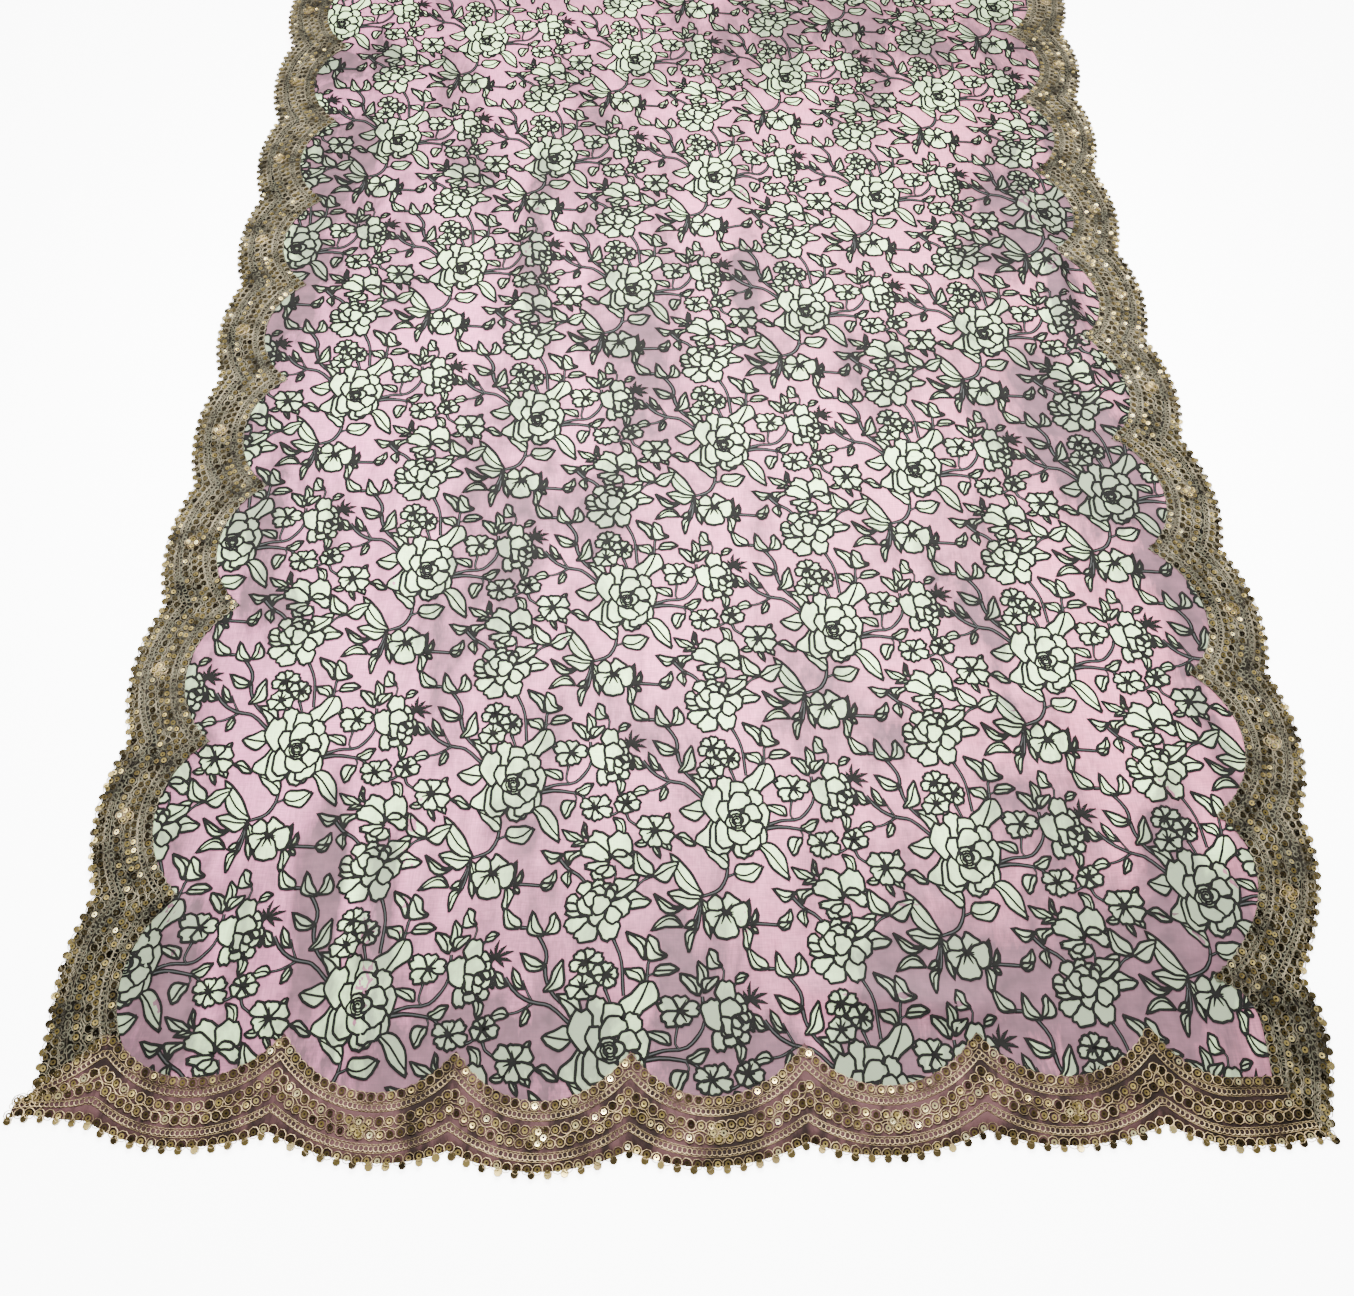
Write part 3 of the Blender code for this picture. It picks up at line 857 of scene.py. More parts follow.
outline = joined_outline(OUTER_EDGE)
outline_places = np.array([tuple(p) for p in outline])
print("points round the edge:", len(outline))

# %% Fill the outline
NEAR_STEP = 0.0076
FAR_STEP = 0.0104
FAR_HALF_FROM_Y = 0.170
CLEAR_OF_EDGE = 0.55                   # share of a step kept free inside the edge


def staggered(low, high, step):
    """Evenly staggered places over a box."""
    rows = int((high[1] - low[1]) / (step * 0.87))
    columns = int((high[0] - low[0]) / step)
    return np.array([(low[0] + (i + 0.5 * (j % 2)) * step, low[1] + (j + 0.5) * step * 0.87)
                     for j in range(rows) for i in range(columns + 1)])


def sheet_places():
    (west, south), (east, north) = outline_places.min(0), outline_places.max(0)
    middle = FAR_HALF_FROM_Y
    kept = []
    for low, high, step in [((west, south), (east, middle), NEAR_STEP),
                            ((west, middle), (east, north), FAR_STEP)]:
        places = staggered(low, high, step)
        places = places[within(places, outline_places)]
        edge = KDTree(len(outline))
        for index, spot in enumerate(outline):
            edge.insert(spot.to_3d(), index)
        edge.balance()
        clear = [edge.find((x, y, 0.0))[2] > step * CLEAR_OF_EDGE for x, y in places]
        kept.append(places[np.array(clear)])
    return np.concatenate(kept)


def closed_shell(name, places, triangles, underside, wall):
    """A closed shell of even wall over flat triangles that all turn the same way."""
    count = len(places)
    top = [(x, y, z + wall) for (x, y), z in zip(places, underside)]
    low = [(x, y, z) for (x, y), z in zip(places, underside)]
    faces = [tuple(t) for t in triangles]
    faces += [(c + count, b + count, a + count) for a, b, c in triangles]
    used = {(a, b) for t in triangles for a, b in zip(t, (*t[1:], t[0]))}
    for a, b in sorted(used):
        if (b, a) not in used:
            faces.append((b, a, a + count))
            faces.append((b, a + count, b + count))
    return new_object(name, top + low, faces)


def make_sheet():
    inner = sheet_places()
    places = outline + [Vector(p) for p in inner]
    edges = [(i, (i + 1) % len(outline)) for i in range(len(outline))]
    placed, _, faces, _, _, _ = delaunay_2d_cdt(places, edges, [], 1, 1e-7)
    flat = np.array([tuple(p) for p in placed])
    triangles = []
    for a, b, c in faces:
        turn = np.cross(flat[b] - flat[a], flat[c] - flat[a])
        triangles.append((a, b, c) if turn > 0 else (a, c, b))
    made = closed_shell("dupatta_cloth", flat, triangles, lift(flat[:, 0], flat[:, 1]), CLOTH_WALL)
    made.data.materials.append(cloth_finish)
    return made


cloth = make_sheet()
print("cloth triangles:", triangle_count(cloth))

# %% [markdown]
# ## The border's four lengths of net
#
# The gold work is stitched through a band of net laid on the cloth, mauve at the short ends and
# olive along the long sides. Each length runs from one corner to the next. Its rows all have the
# same number of points, so the band is a simple grid between its two scalloped edges.

# %% Lengths of net
NET_ROWS = 6


def make_net(length):
    shares = [k / NET_ROWS for k in range(NET_ROWS + 1)]
    rows = []
    for share in shares:
        edge = tuple(i + (o - i) * share for i, o in zip(INNER_EDGE, OUTER_EDGE))
        rows.append(length.row(edge))
    across = len(rows[0])
    places = np.array([tuple(p) for row in rows for p in row])
    triangles = []
    for j in range(NET_ROWS):
        for i in range(across - 1):
            a, b = j * across + i, j * across + i + 1
            c, d = b + across, a + across
            triangles += [(a, b, c), (a, c, d)]
    a, b, c = (places[i] for i in triangles[0])
    if np.cross(b - a, c - a) < 0:
        triangles = [(a, c, b) for a, b, c in triangles]
    underside = lift(places[:, 0], places[:, 1]) + CLOTH_WALL + NET_GAP
    made = closed_shell("net_" + length.name, places, triangles, underside, NET_WALL)
    short_end = length.name in ("near", "far")
    made.data.materials.append(end_net_finish if short_end else side_net_finish)
    return made


nets = {length.name: make_net(length) for length in lengths}
print("net triangles:", {name: triangle_count(net) for name, net in nets.items()})

# %% [markdown]
# ## The print
#
# A printed cloth repeats one drawing. Here the drawing is made of petals, leaves and stems, all
# worked out by one function for a blade: a shape on a bent spine that swells and narrows. The
# shapes are listed from back to front, and where a shape in front covers a line, that part of
# the line is left out, as the print's artist would. Sizes in this part are in millimetres.

# %% Blades
MM = 0.001
LINE_WIDTH = 1.95
FINE_WIDTH = 1.9
RIB_WIDTH = 1.8
STEM_TAPER = 0.85
LINE_STEP = 1.1                        # between points of a line while it is being drawn
LINE_ERROR = 0.30                      # how far a finished line may cut a corner
LONGEST_SIDE = 6.8


def blade(base, tip, width, bend=0.0, rise=0.75, fall=0.85, waves=0.0, notch=0.0, frill=0.0,
          sway=0.0, steps=16):
    """Closed outline of a leaf or petal, and its spine."""
    base, tip = np.array(base, float), np.array(tip, float)
    run = tip - base
    side = np.array([-run[1], run[0]]) / np.linalg.norm(run)
    share = 0.5 * (1.0 - np.cos(np.linspace(0.0, math.pi, steps + 1)))
    peak = rise / (rise + fall)
    swell = (share / peak) ** rise * ((1.0 - share) / (1.0 - peak)) ** fall
    curve = 4.0 * bend * share * (1.0 - share) + sway * np.sin(2.0 * math.pi * share)
    spine = base + np.outer(share, run) + np.outer(curve, side)
    start = base[0] * 0.7 + base[1] * 1.1
    left = 0.5 * width * swell * (1.0 + waves * np.sin(start + 10.0 * share))
    right = 0.5 * width * swell * (1.0 + waves * np.sin(start + 2.0 + 9.0 * share))

    def blunt_end(half):
        """A notch draws the end's middle back towards the base, and a frill makes it uneven."""
        across = half / (0.5 * width)
        in_and_out = frill * np.cos(8.0 * across + start) - notch * np.exp(-(2.5 * across) ** 2)
        return np.outer(share ** 4 * in_and_out, run)

    one = spine + side * left[:, None] + blunt_end(left)
    other = spine - side * right[:, None] + blunt_end(-right)
    return np.concatenate([one, other[-2:0:-1]]), spine


def resampled(points, step, closed):
    """The same line with evenly spaced points."""
    if closed:
        points = np.concatenate([points, points[:1]])
    gaps = np.linalg.norm(np.diff(points, axis=0), axis=1)
    run = np.concatenate([[0.0], np.cumsum(gaps)])
    count = max(2, int(run[-1] / step))
    at = np.linspace(0.0, run[-1], count + 1)
    line = np.stack([np.interp(at, run, points[:, k]) for k in range(2)], axis=1)
    return line[:-1] if closed else line


def smooth_path(points, step=2.0):
    """A soft curve through a few points."""
    points = np.array(points, float)
    padded = np.concatenate([2 * points[:1] - points[1:2], points, 2 * points[-1:] - points[-2:-1]])
    out = []
    for p0, p1, p2, p3 in zip(padded, padded[1:], padded[2:], padded[3:]):
        for t in np.linspace(0.0, 1.0, 8, endpoint=False):
            out.append(0.5 * (2 * p1 + (p2 - p0) * t + (2 * p0 - 5 * p1 + 4 * p2 - p3) * t * t
                              + (3 * p1 - p0 - 3 * p2 + p3) * t ** 3))
    out.append(points[-1])
    return resampled(np.array(out), step, False)


# %% The drawing's own sheet
class Drawing:
    """Shapes in order from back to front, each with an outline and lines on it."""

    def __init__(self):
        self.shapes = []

    def add(self, outline, lines, group, edge=LINE_WIDTH):
        self.shapes.append({"outline": outline, "lines": lines, "group": group, "edge": edge})

    def leaf(self, base, tip, width, bend=0.0, waves=0.13, rise=0.66, fall=0.92):
        """A pointed leaf with a wavy rib from end to end."""
        sway = 0.2 * bend - 0.07 * width * math.cos(base[0])
        outline, spine = blade(base, tip, width, bend, rise, fall, waves, sway=sway)
        run = np.array(tip, float) - np.array(base, float)
        side = np.array([-run[1], run[0]]) / np.linalg.norm(run)
        share = np.linspace(0.0, 1.0, len(spine))
        rib = spine + np.outer(0.15 * width * np.sin(share * 6.3 + base[0]), side)
        self.add(outline, [(rib[:-1], RIB_WIDTH, RIB_WIDTH * 0.7)], "leaf")

    def petal(self, base, tip, width, bend=0.0, edge=LINE_WIDTH, **form):
        outline, _ = blade(base, tip, width, bend, **form)
        self.add(outline, [], "flower", edge)

    def petals(self, rows, **style):
        """Columns: base x, base y, tip x, tip y, width, bend."""
        for base_x, base_y, tip_x, tip_y, width, bend in rows:
            self.petal((base_x, base_y), (tip_x, tip_y), width, bend, **style)

    def stem(self, points, width):
        self.add(None, [(smooth_path(points), width, width * STEM_TAPER)], "stem")

    def stroke(self, points, width, end_width):
        self.add(None, [(np.array(points, float), width, end_width)], "flower")


# %% Flowers
def turned(centre, angle, reach):
    angle = math.radians(angle)
    return (centre[0] + reach * math.cos(angle), centre[1] + reach * math.sin(angle))


def dark_heart(drawing, centre, radius, count, width):
    """Dark strokes that spread from a flower's middle."""
    for k in range(count):
        angle = 360.0 * k / count + 17.0 * (k % 3)
        reach = radius * (1.0 if k % 2 else 0.68)
        drawing.stroke([turned(centre, angle, 0.2), turned(centre, angle + 4, reach)], width, 0.8)


def spiral_heart(drawing, centre, radius, turns, width):
    steps = int(turns * 11)
    points = [turned(centre, 360.0 * turns * k / steps, 1.0 + (radius - 1.0) * k / steps)
              for k in range(steps + 1)]
    drawing.stroke(points, width, width)


def simple_flower(drawing, centre, radius, count, turn, heart=0.4, lean=0.0):
    """An open flower of round petals with a small dark heart."""
    for k in range(count):
        angle = turn + 360.0 * k / count
        reach = radius * (1.0 + 0.15 * math.sin(2.4 * k + turn))
        tip = turned((centre[0] + lean, centre[1]), angle, reach)
        drawing.petal(turned(centre, angle, radius * 0.04), tip, 4.5 * radius / count,
                      edge=FINE_WIDTH, rise=1.05, fall=0.50, waves=0.07, notch=0.12, frill=0.045)
    dark_heart(drawing, centre, radius * (heart + 0.15), count * 2 - 1, 2.5)


# %% The big rose, the full flowers and the half-open one
# Petals from back to front: base x, base y, tip x, tip y, width, bend.
ROSE_OUTER = [
    (-7, 10, -11, 35, 13, 0.0), (-3, 12, 1, 31, 14, -1.0), (5, 8, 16, 23, 13, -1.5),
    (8, 2, 24, -1, 23, 1.0), (5, -6, 18, -21, 19, 1.5), (1, -12, 4, -31, 15, 1.0),
    (3, -10, 10, -26, 18, 2.0), (-16, 3, -30, -21, 16, 3.5), (-15, 2, -12, -28, 16, -2.0),
    (-13, 1, -8, -23, 14, -1.5), (-18, -3, -20, 26, 17, 1.0),
]
ROSE_MIDDLE = [
    (-9, -4, -11, 15, 11, 1.0), (-7, 5, 9, 18, 14, 3.0), (4, 1, 17, 7, 15, 1.0),
    (5, -3, 17, -11, 15, -1.0), (-8, -4, 8, -18, 12, -3.0),
]
SMALL_PEONY = [
    (88, 26, 82, 38, 7, 0.0), (75, 29, 75, 47, 14, 0.0), (71, 15, 71, -1, 10, -1.0),
    (77, 13, 78, 2, 9, 0.0), (86, 15, 88, 4, 8, 0.0), (70, 12, 65, 34, 14, 2.0),
    (87, 21, 93, 24, 8, 0.0), (75, 19, 77, 8, 8, -1.0), (82, 28, 90, 27, 8, 0.0),
    (72, 21, 84, 31, 14, 2.0), (72, 22, 78, 10, 9, 2.0), (80, 20, 83, 8, 8, 1.0),
    (84, 22, 89, 12, 8, 1.0), (80, 22, 85, 15, 6, -1.0), (84, 24, 90, 19, 5, 1.0),
]
FULL_PEONY = [
    (64, -90, 61, -79, 12, 0.0), (71, -88, 72, -77, 9, 0.0), (78, -90, 80, -80, 9, 0.0),
    (68, -106, 52, -112, 12, 2.0), (75, -108, 62, -122, 14, 2.0), (79, -105, 86, -122, 15, 1.0),
    (82, -96, 97, -99, 16, -1.0), (82, -92, 84, -81, 7, 1.0), (60, -95, 50, -92, 11, 1.0),
    (66, -103, 51, -101, 10, -1.5), (66, -85, 78, -87, 7, 1.0), (61, -100, 50, -96, 6, 0.5),
    (82, -97, 87, -110, 11, 1.0), (79, -102, 70, -110, 10, -1.0), (77, -95, 82, -84, 7, -1.5),
    (70, -104, 59, -92, 8, 1.5), (67, -98, 68, -86, 10, 0.5), (73, -104, 76, -89, 13, -1.0),
]
HALF_OPEN = [
    (77, -68, 66, -75, 10, 1.0), (76, -66, 80, -75, 10, 0.0), (79, -61, 65, -40, 17, 1.5),
    (80, -60, 88, -40, 20, -2.0), (80, -58, 96, -66, 10, 2.0), (78, -64, 60, -67, 7, 1.0),
    (78, -66, 68, -71, 6, 1.0), (78, -62, 56, -53, 13, -2.0), (79, -58, 91, -57, 6, 1.0),
]
FACE_PETALS = [
    (-14, -73, -4, -61, 18, -3.0), (-12, -72, -25, -78, 15, 3.0), (-13, -70, -22, -62, 12, 1.0),
    (-9, -74, 6, -76, 18, 1.0), (-11, -73, -10, -92, 17, 0.0),
]


def big_rose(drawing, centre):
    drawing.petals(ROSE_OUTER, rise=0.66, fall=0.34, waves=0.11, frill=0.045)
    drawing.petals(ROSE_MIDDLE, rise=0.62, fall=0.30, waves=0.09, frill=0.04)
    heart = [turned(centre, 30 * k, 8.6 + 0.5 * math.sin(2.1 * k)) for k in range(12)]
    drawing.add(np.array(heart), [], "flower")
    drawing.petals([(centre[0] + 4, centre[1] - 5, centre[0] + 5, centre[1] + 6, 7, -2.0),
                    (centre[0] - 5, centre[1] + 4, centre[0] - 3, centre[1] - 6, 7, -2.0)],
                   rise=0.55, fall=0.3)
    spiral_heart(drawing, centre, 6.9, 2.9, 1.5)


# %% One repeat of the print
# Stems: points of each, then its width.
STEMS = [
    ([(20, -8), (32, -6), (42, -7), (52, -9), (62, -17)], 3.2),
    ([(22, -5), (34, -1), (46, 0), (53, 5), (60, 17), (59, 36)], 2.9),
    ([(48, -8), (50, -12), (49, -17)], 1.8),
    ([(70, -26), (78, -26), (88, -22), (93, -31), (106, -38)], 2.8),
    ([(122, -40), (131, -43)], 2.2),
    ([(150, -12), (136, 0), (122, 3), (110, 10), (102, 20)], 3.2),
    ([(124, 2), (119, 10), (115, 18)], 2.0),
    ([(124, 2), (114, -4), (104, -6)], 2.2),
    ([(121, 1), (119, -4)], 1.8),
    ([(104, 56), (114, 55), (122, 48), (129, 37), (130, 24), (136, 10), (150, -4)], 3.3),
    ([(-8, 84), (-2, 74), (4, 60), (7, 36)], 2.8),
    ([(-16, 58), (-7, 44), (-1, 30)], 2.8),
    ([(22, 36), (22, 52), (23, 62), (32, 66)], 2.6),
    ([(22, 50), (28, 53)], 1.8),
    ([(-9, -36), (-10, -46), (-16, -56), (-29, -61)], 3.2),
    ([(-10, -46), (-3, -43)], 2.4),
    ([(5, -82), (14, -81), (28, -82)], 2.8),
    ([(112, -74), (104, -78), (98, -86)], 2.4),
    ([(36, -56), (46, -68), (56, -74), (66, -84)], 3.2),
    ([(82, -66), (84, -74), (82, -84)], 2.2),
    ([(73, 46), (74, 54), (72, 58)], 2.0),
    ([(80, 42), (84, 47)], 1.6),
    ([(43, 18), (41, 4), (44, 0)], 2.0),
    ([(-40, -69), (-34, -68), (-29, -62)], 2.8),
    ([(-40, -85), (-33, -78), (-29, -62)], 2.8),
    ([(-37, -89), (-31, -84), (-29, -62)], 2.6),
]
# The dark sprig's middle, and the direction and length of its blades.
SPRIG = (92, 33)
SPRIG_BLADES = [(-38, 10), (-8, 13), (24, 14), (56, 12), (88, 14), (124, 9), (160, 10), (205, 9)]
# Leaves: base x, base y, tip x, tip y, width, bend.
LEAVES = [
    (-25, 8, -46, 7, 17, 1.0), (-22, 20, -37, 37, 13, -2.5), (-9, -39, -28, -22, 14, -3.0),
    (15, -20, 38, -48, 15, 3.0), (-4, -43, 18, -38, 17, -1.5), (-28, -60, -53, -28, 14, 2.5),
    (-29, -62, -54, -58, 13, 2.5), (-42, -69, -64, -59, 8, 4.5), (-42, -83, -64, -86, 10, -4.5),
    (-33, -79, -40, -84, 7, 1.0), (-31, -85, -37, -102, 7, -3.0), (-28, -63, -22, -92, 8, 1.0),
    (5, -82, 7, -63, 7, 1.5), (8, -81, 12, -70, 5, -1.5), (28, -82, 38, -70, 9, -2.5),
    (28, -82, 38, -79, 7, -2.0), (3, -83, 5, -102, 8, 1.0), (8, -84, 13, -88, 5, 0.0),
    (20, 62, 5, 82, 10, -2.5), (34, 64, 21, 80, 13, 4.0), (20, 46, 6, 55, 10, -1.5),
    (26, 52, 43, 55, 9, 1.5), (57, 37, 44, 52, 11, -1.5), (59, 42, 56, 61, 9, -1.5),
    (60, 39, 70, 50, 9, 1.5), (72, 57, 64, 70, 11, 2.5), (82, 46, 91, 51, 7, 1.0),
    (104, 14, 94, 24, 8, 1.5), (117, 12, 106, 27, 7, 1.5), (106, 56, 91, 70, 11, 2.0),
    (124, 50, 112, 68, 10, 3.0), (125, 51, 129, 67, 11, -3.5), (130, 28, 110, 37, 10, 2.5),
    (107, -6, 93, -9, 9, -1.5), (120, -2, 116, -14, 7, 1.0), (49, -15, 42, -29, 12, -3.0),
    (80, -28, 87, -46, 9, 2.5), (129, -42, 144, -50, 8, 1.0), (57, -46, 40, -38, 8, 1.5),
    (60, -45, 57, -32, 5, 1.0), (60, -49, 48, -51, 5, -1.0), (42, -58, 25, -55, 9, 3.0),
    (47, -66, 56, -55, 9, 3.5), (49, -70, 49, -83, 8, -2.0), (112, -74, 97, -55, 14, 2.0),
    (112, -74, 131, -63, 14, -2.0), (38, 3, 22, 11, 9, -1.5), (49, -7, 63, 0, 9, -1.5),
    (131, 10, 141, 33, 11, -3.5), (82, -82, 102, -74, 13, -3.0), (84, -90, 101, -78, 16, 2.0),
    (92, -95, 112, -93, 14, 1.0), (107, -46, 97, -49, 7, 1.0), (119, -42, 125, -54, 8, -1.5),
    (112, -50, 117, -60, 5, 0.0), (120, -32, 124, -24, 6, 0.5), (82, 4, 84, -9, 8, 2.0),
    (92, 20, 94, 12, 5, -0.5),
]


def one_repeat():
    drawing = Drawing()
    for points, width in STEMS:
        drawing.stem(points, width)
    for base_x, base_y, tip_x, tip_y, width, bend in LEAVES:
        drawing.leaf((base_x, base_y), (tip_x, tip_y), 0.88 * width, 1.15 * bend)
    # The leaf at the rose's upper right is broader, with its widest part further out.
    drawing.leaf((9, 16), (26, 46), 18, 1.5, waves=0.17, rise=0.72, fall=0.62)
    simple_flower(drawing, (-20, 60), 11.0, 6, 20)
    simple_flower(drawing, (-21, 42), 10.5, 5, 60, heart=0.5)
    simple_flower(drawing, (-6, 51), 9.5, 5, 10, heart=0.65)
    simple_flower(drawing, (65, -20), 12.0, 6, 40, lean=1.0)
    simple_flower(drawing, (89, -16), 9.8, 5, 60, heart=0.65, lean=2.0)
    simple_flower(drawing, (113, -38), 14.5, 6, 28)
    simple_flower(drawing, (44, 26), 13.0, 5, 80, heart=0.55, lean=-1.5)
    # A dark sprig of thick narrow blades.
    for angle, reach in SPRIG_BLADES:
        belly, tip = turned(SPRIG, angle + 8, reach * 0.58), turned(SPRIG, angle, reach)
        drawing.stroke([SPRIG, belly], 1.3, 3.2)
        drawing.stroke([belly, tip], 3.2, 0.5)
    drawing.petals(FACE_PETALS, rise=0.6, fall=0.28, waves=0.08, frill=0.03)
    dark_heart(drawing, (-11.0, -73.0), 9.0, 11, 2.6)
    drawing.petals(HALF_OPEN, rise=0.7, fall=0.46, waves=0.13, frill=0.05)
    dark_heart(drawing, (77.0, -62.0), 3.6, 7, 2.6)
    drawing.petals(SMALL_PEONY, rise=0.60, fall=0.34, waves=0.12, frill=0.05)
    dark_heart(drawing, (84.0, 5.0), 4.0, 5, 1.8)
    drawing.petals(FULL_PEONY, rise=0.62, fall=0.38, waves=0.13, frill=0.05)
    big_rose(drawing, (-1.0, -1.0))
    return drawing


repeat = one_repeat()
print("shapes in one repeat:", len(repeat.shapes))

# %% [markdown]
# ### From drawing to mesh
#
# Lines become thin strips and shapes become small sheets of triangles, with points close enough
# for both to bend over the folds. A line is kept only where nothing in front covers it. Because
# the drawing repeats, the shapes in front are looked for in the neighbouring repeats too.

# %% Hidden parts of lines
STEP_ACROSS = np.array((0.1777, -0.0287)) / MM
STEP_DOWN = np.array((0.0914, -0.1982)) / MM
NEIGHBOURS = [i * STEP_ACROSS + j * STEP_DOWN for i in (-1, 0, 1) for j in (-1, 0, 1)]


def visible_runs(points, closed, covers):
    """The stretches of a line that none of the covers hides."""
    seen = np.ones(len(points), bool)
    low, high = points.min(0), points.max(0)
    for cover, cover_low, cover_high in covers:
        for shift in NEIGHBOURS:
            if np.any(cover_low + shift > high) or np.any(cover_high + shift < low):
                continue
            seen &= ~within(points, cover + shift)
    if seen.all():
        return [points], closed
    if not seen.any():
        return [], False
    if closed:
        first = int(np.argmin(seen))
        points, seen = np.roll(points, -first, axis=0), np.roll(seen, -first)
        points = np.concatenate([points, points[:1]])
        seen = np.concatenate([seen, seen[:1]])
    runs, run = [], []
    for index, (point, shown) in enumerate(zip(points, seen)):
        if shown:
            if not run and index:
                run.append((points[index - 1] + point) / 2.0)
            run.append(point)
        elif run:
            run.append((run[-1] + point) / 2.0)
            runs.append(np.array(run))
            run = []
    if run:
        runs.append(np.array(run))
    return [r for r in runs if len(r) > 2], False


def thinned(points, closed):
    """Fewer points on a line, none of it moved by more than LINE_ERROR."""
    if closed:
        far = int(np.argmax(np.linalg.norm(points - points[0], axis=1)))
        one = thinned(points[:far + 1], False)
        other = thinned(np.concatenate([points[far:], points[:1]]), False)
        return np.concatenate([one[:-1], other[:-1]])
    keep = {0, len(points) - 1}
    spans = [(0, len(points) - 1)]
    while spans:
        start, end = spans.pop()
        if end - start < 2:
            continue
        run = points[end] - points[start]
        length = max(np.linalg.norm(run), 1e-9)
        between = points[start + 1:end] - points[start]
        away = np.abs(between[:, 0] * run[1] - between[:, 1] * run[0]) / length
        worst = int(np.argmax(away))
        if away[worst] > LINE_ERROR or length > LONGEST_SIDE:
            middle = start + 1 + worst if away[worst] > LINE_ERROR else (start + end) // 2
            keep.add(middle)
            spans += [(start, middle), (middle, end)]
    return points[sorted(keep)]


# %% Strips and fills
class MeshSheet:
    """Points, faces, a strip map and each point's way outward, gathered for one piece."""

    def __init__(self):
        self.points, self.faces, self.maps, self.sides = [], [], [], []

    def strip(self, line, closed, start_width, end_width):
        count = len(line)
        if closed:
            ahead, behind = np.roll(line, -1, axis=0), np.roll(line, 1, axis=0)
        else:
            ahead = np.concatenate([line[1:], line[-1:]])
            behind = np.concatenate([line[:1], line[:-1]])
        into = line - behind
        out = ahead - line
        into = into / np.maximum(np.linalg.norm(into, axis=1), 1e-9)[:, None]
        out = out / np.maximum(np.linalg.norm(out, axis=1), 1e-9)[:, None]
        along = into + out
        along = along / np.maximum(np.linalg.norm(along, axis=1), 1e-9)[:, None]
        side = np.stack([-along[:, 1], along[:, 0]], axis=1)
        mitre = np.clip(1.0 / np.maximum(np.abs((along * out).sum(1)), 0.5), 1.0, 1.7)
        if not closed:
            mitre[-1] = 1.0
            mitre[0] = 1.0
        width = np.linspace(start_width, end_width, count)
        width = width * (1.0 + 0.10 * np.sin(0.12 * line[:, 0] + 0.17 * line[:, 1]))
        reach = side * (0.5 * width * mitre)[:, None]
        base = len(self.points)
        for k in range(count):
            self.points += [line[k] + reach[k], line[k] - reach[k]]
            self.sides += [reach[k], -reach[k]]
        last = count if closed else count - 1
        for k in range(last):
            a, b = base + 2 * k, base + 2 * ((k + 1) % count)
            self.faces.append((a, a + 1, b + 1, b))
            self.maps.append(((k, 1), (k, 0), (k + 1, 0), (k + 1, 1)))

    def fill(self, outline):
        low, high = outline.min(0), outline.max(0)
        step = LONGEST_SIDE * 0.95
        grid = staggered(low, high, step) if min(high - low) > step else np.zeros((0, 2))
        if len(grid):
            grid = grid[within(grid, outline)]
        if len(grid):
            away = np.linalg.norm(grid[:, None] - outline[None], axis=2).min(1)
            grid = grid[away > step * 0.48]
        places = [Vector(p) for p in outline] + [Vector(p) for p in grid]
        ring = [(k, (k + 1) % len(outline)) for k in range(len(outline))]
        placed, _, faces, _, _, _ = delaunay_2d_cdt(places, ring, [], 1, 1e-5)
        base = len(self.points)
        self.points += [np.array(p) for p in placed]
        self.sides += [np.zeros(2)] * len(placed)
        for a, b, c in faces:
            turn = (placed[b] - placed[a]).cross(placed[c] - placed[a])
            face = (a, b, c) if turn > 0 else (a, c, b)
            self.faces.append(tuple(base + v for v in face))
            self.maps.append(((0, 0),) * 3)

    def to_object(self, name):
        places = [(x * MM, y * MM, 0.0) for x, y in self.points]
        made = new_object(name, places, self.faces, smooth=False)
        strip_map = made.data.uv_layers.new(name="strip")
        flat = [value for face in self.maps for pair in face for value in pair]
        strip_map.data.foreach_set("uv", flat)
        side = made.data.attributes.new(name="side", type="FLOAT_VECTOR", domain="POINT")
        side.data.foreach_set("vector", [v for x, y in self.sides for v in (x * MM, y * MM, 0.0)])
        return made


def draw_repeat(drawing):
    """The repeat's pieces: cream fills, flower lines, leaf lines and stems."""
    sheets = {"fill": MeshSheet(), "flower": MeshSheet(), "leaf": MeshSheet(), "stem": MeshSheet()}
    covers = []
    for shape in reversed(drawing.shapes):
        outline = shape["outline"]
        target = sheets[shape["group"]]
        for line, start_width, end_width in shape["lines"]:
            dense = resampled(line, LINE_STEP, False)
            runs, _ = visible_runs(dense, False, covers)
            for run in runs:
                target.strip(thinned(run, False), False, start_width, end_width)
        if outline is not None:
            dense = resampled(outline, LINE_STEP, True)
            runs, whole = visible_runs(dense, True, covers)
            for run in runs:
                target.strip(thinned(run, whole), whole, shape["edge"], shape["edge"])
            if runs:
                sheets["fill"].fill(thinned(dense, True))
            covers.append((dense, dense.min(0), dense.max(0)))
    return sheets


sheets = draw_repeat(repeat)
print("faces in one repeat:", {name: len(sheet.faces) for name, sheet in sheets.items()})

# %% [markdown]
# ### Laying the repeats over the cloth
#
# The repeats stand on a slanting lattice. A geometry node tree makes the lattice, puts the drawing
# on each of its points, drops every point of it straight down on the cloth and takes away what
# misses the cloth, or what would lie under the border at the two short ends, where the print
# stops. The near left of the cloth is pulled a little askew, and the print goes with it. Each
# point of a line knows its way outward, so lines can be drawn broader in the middle of the cloth.

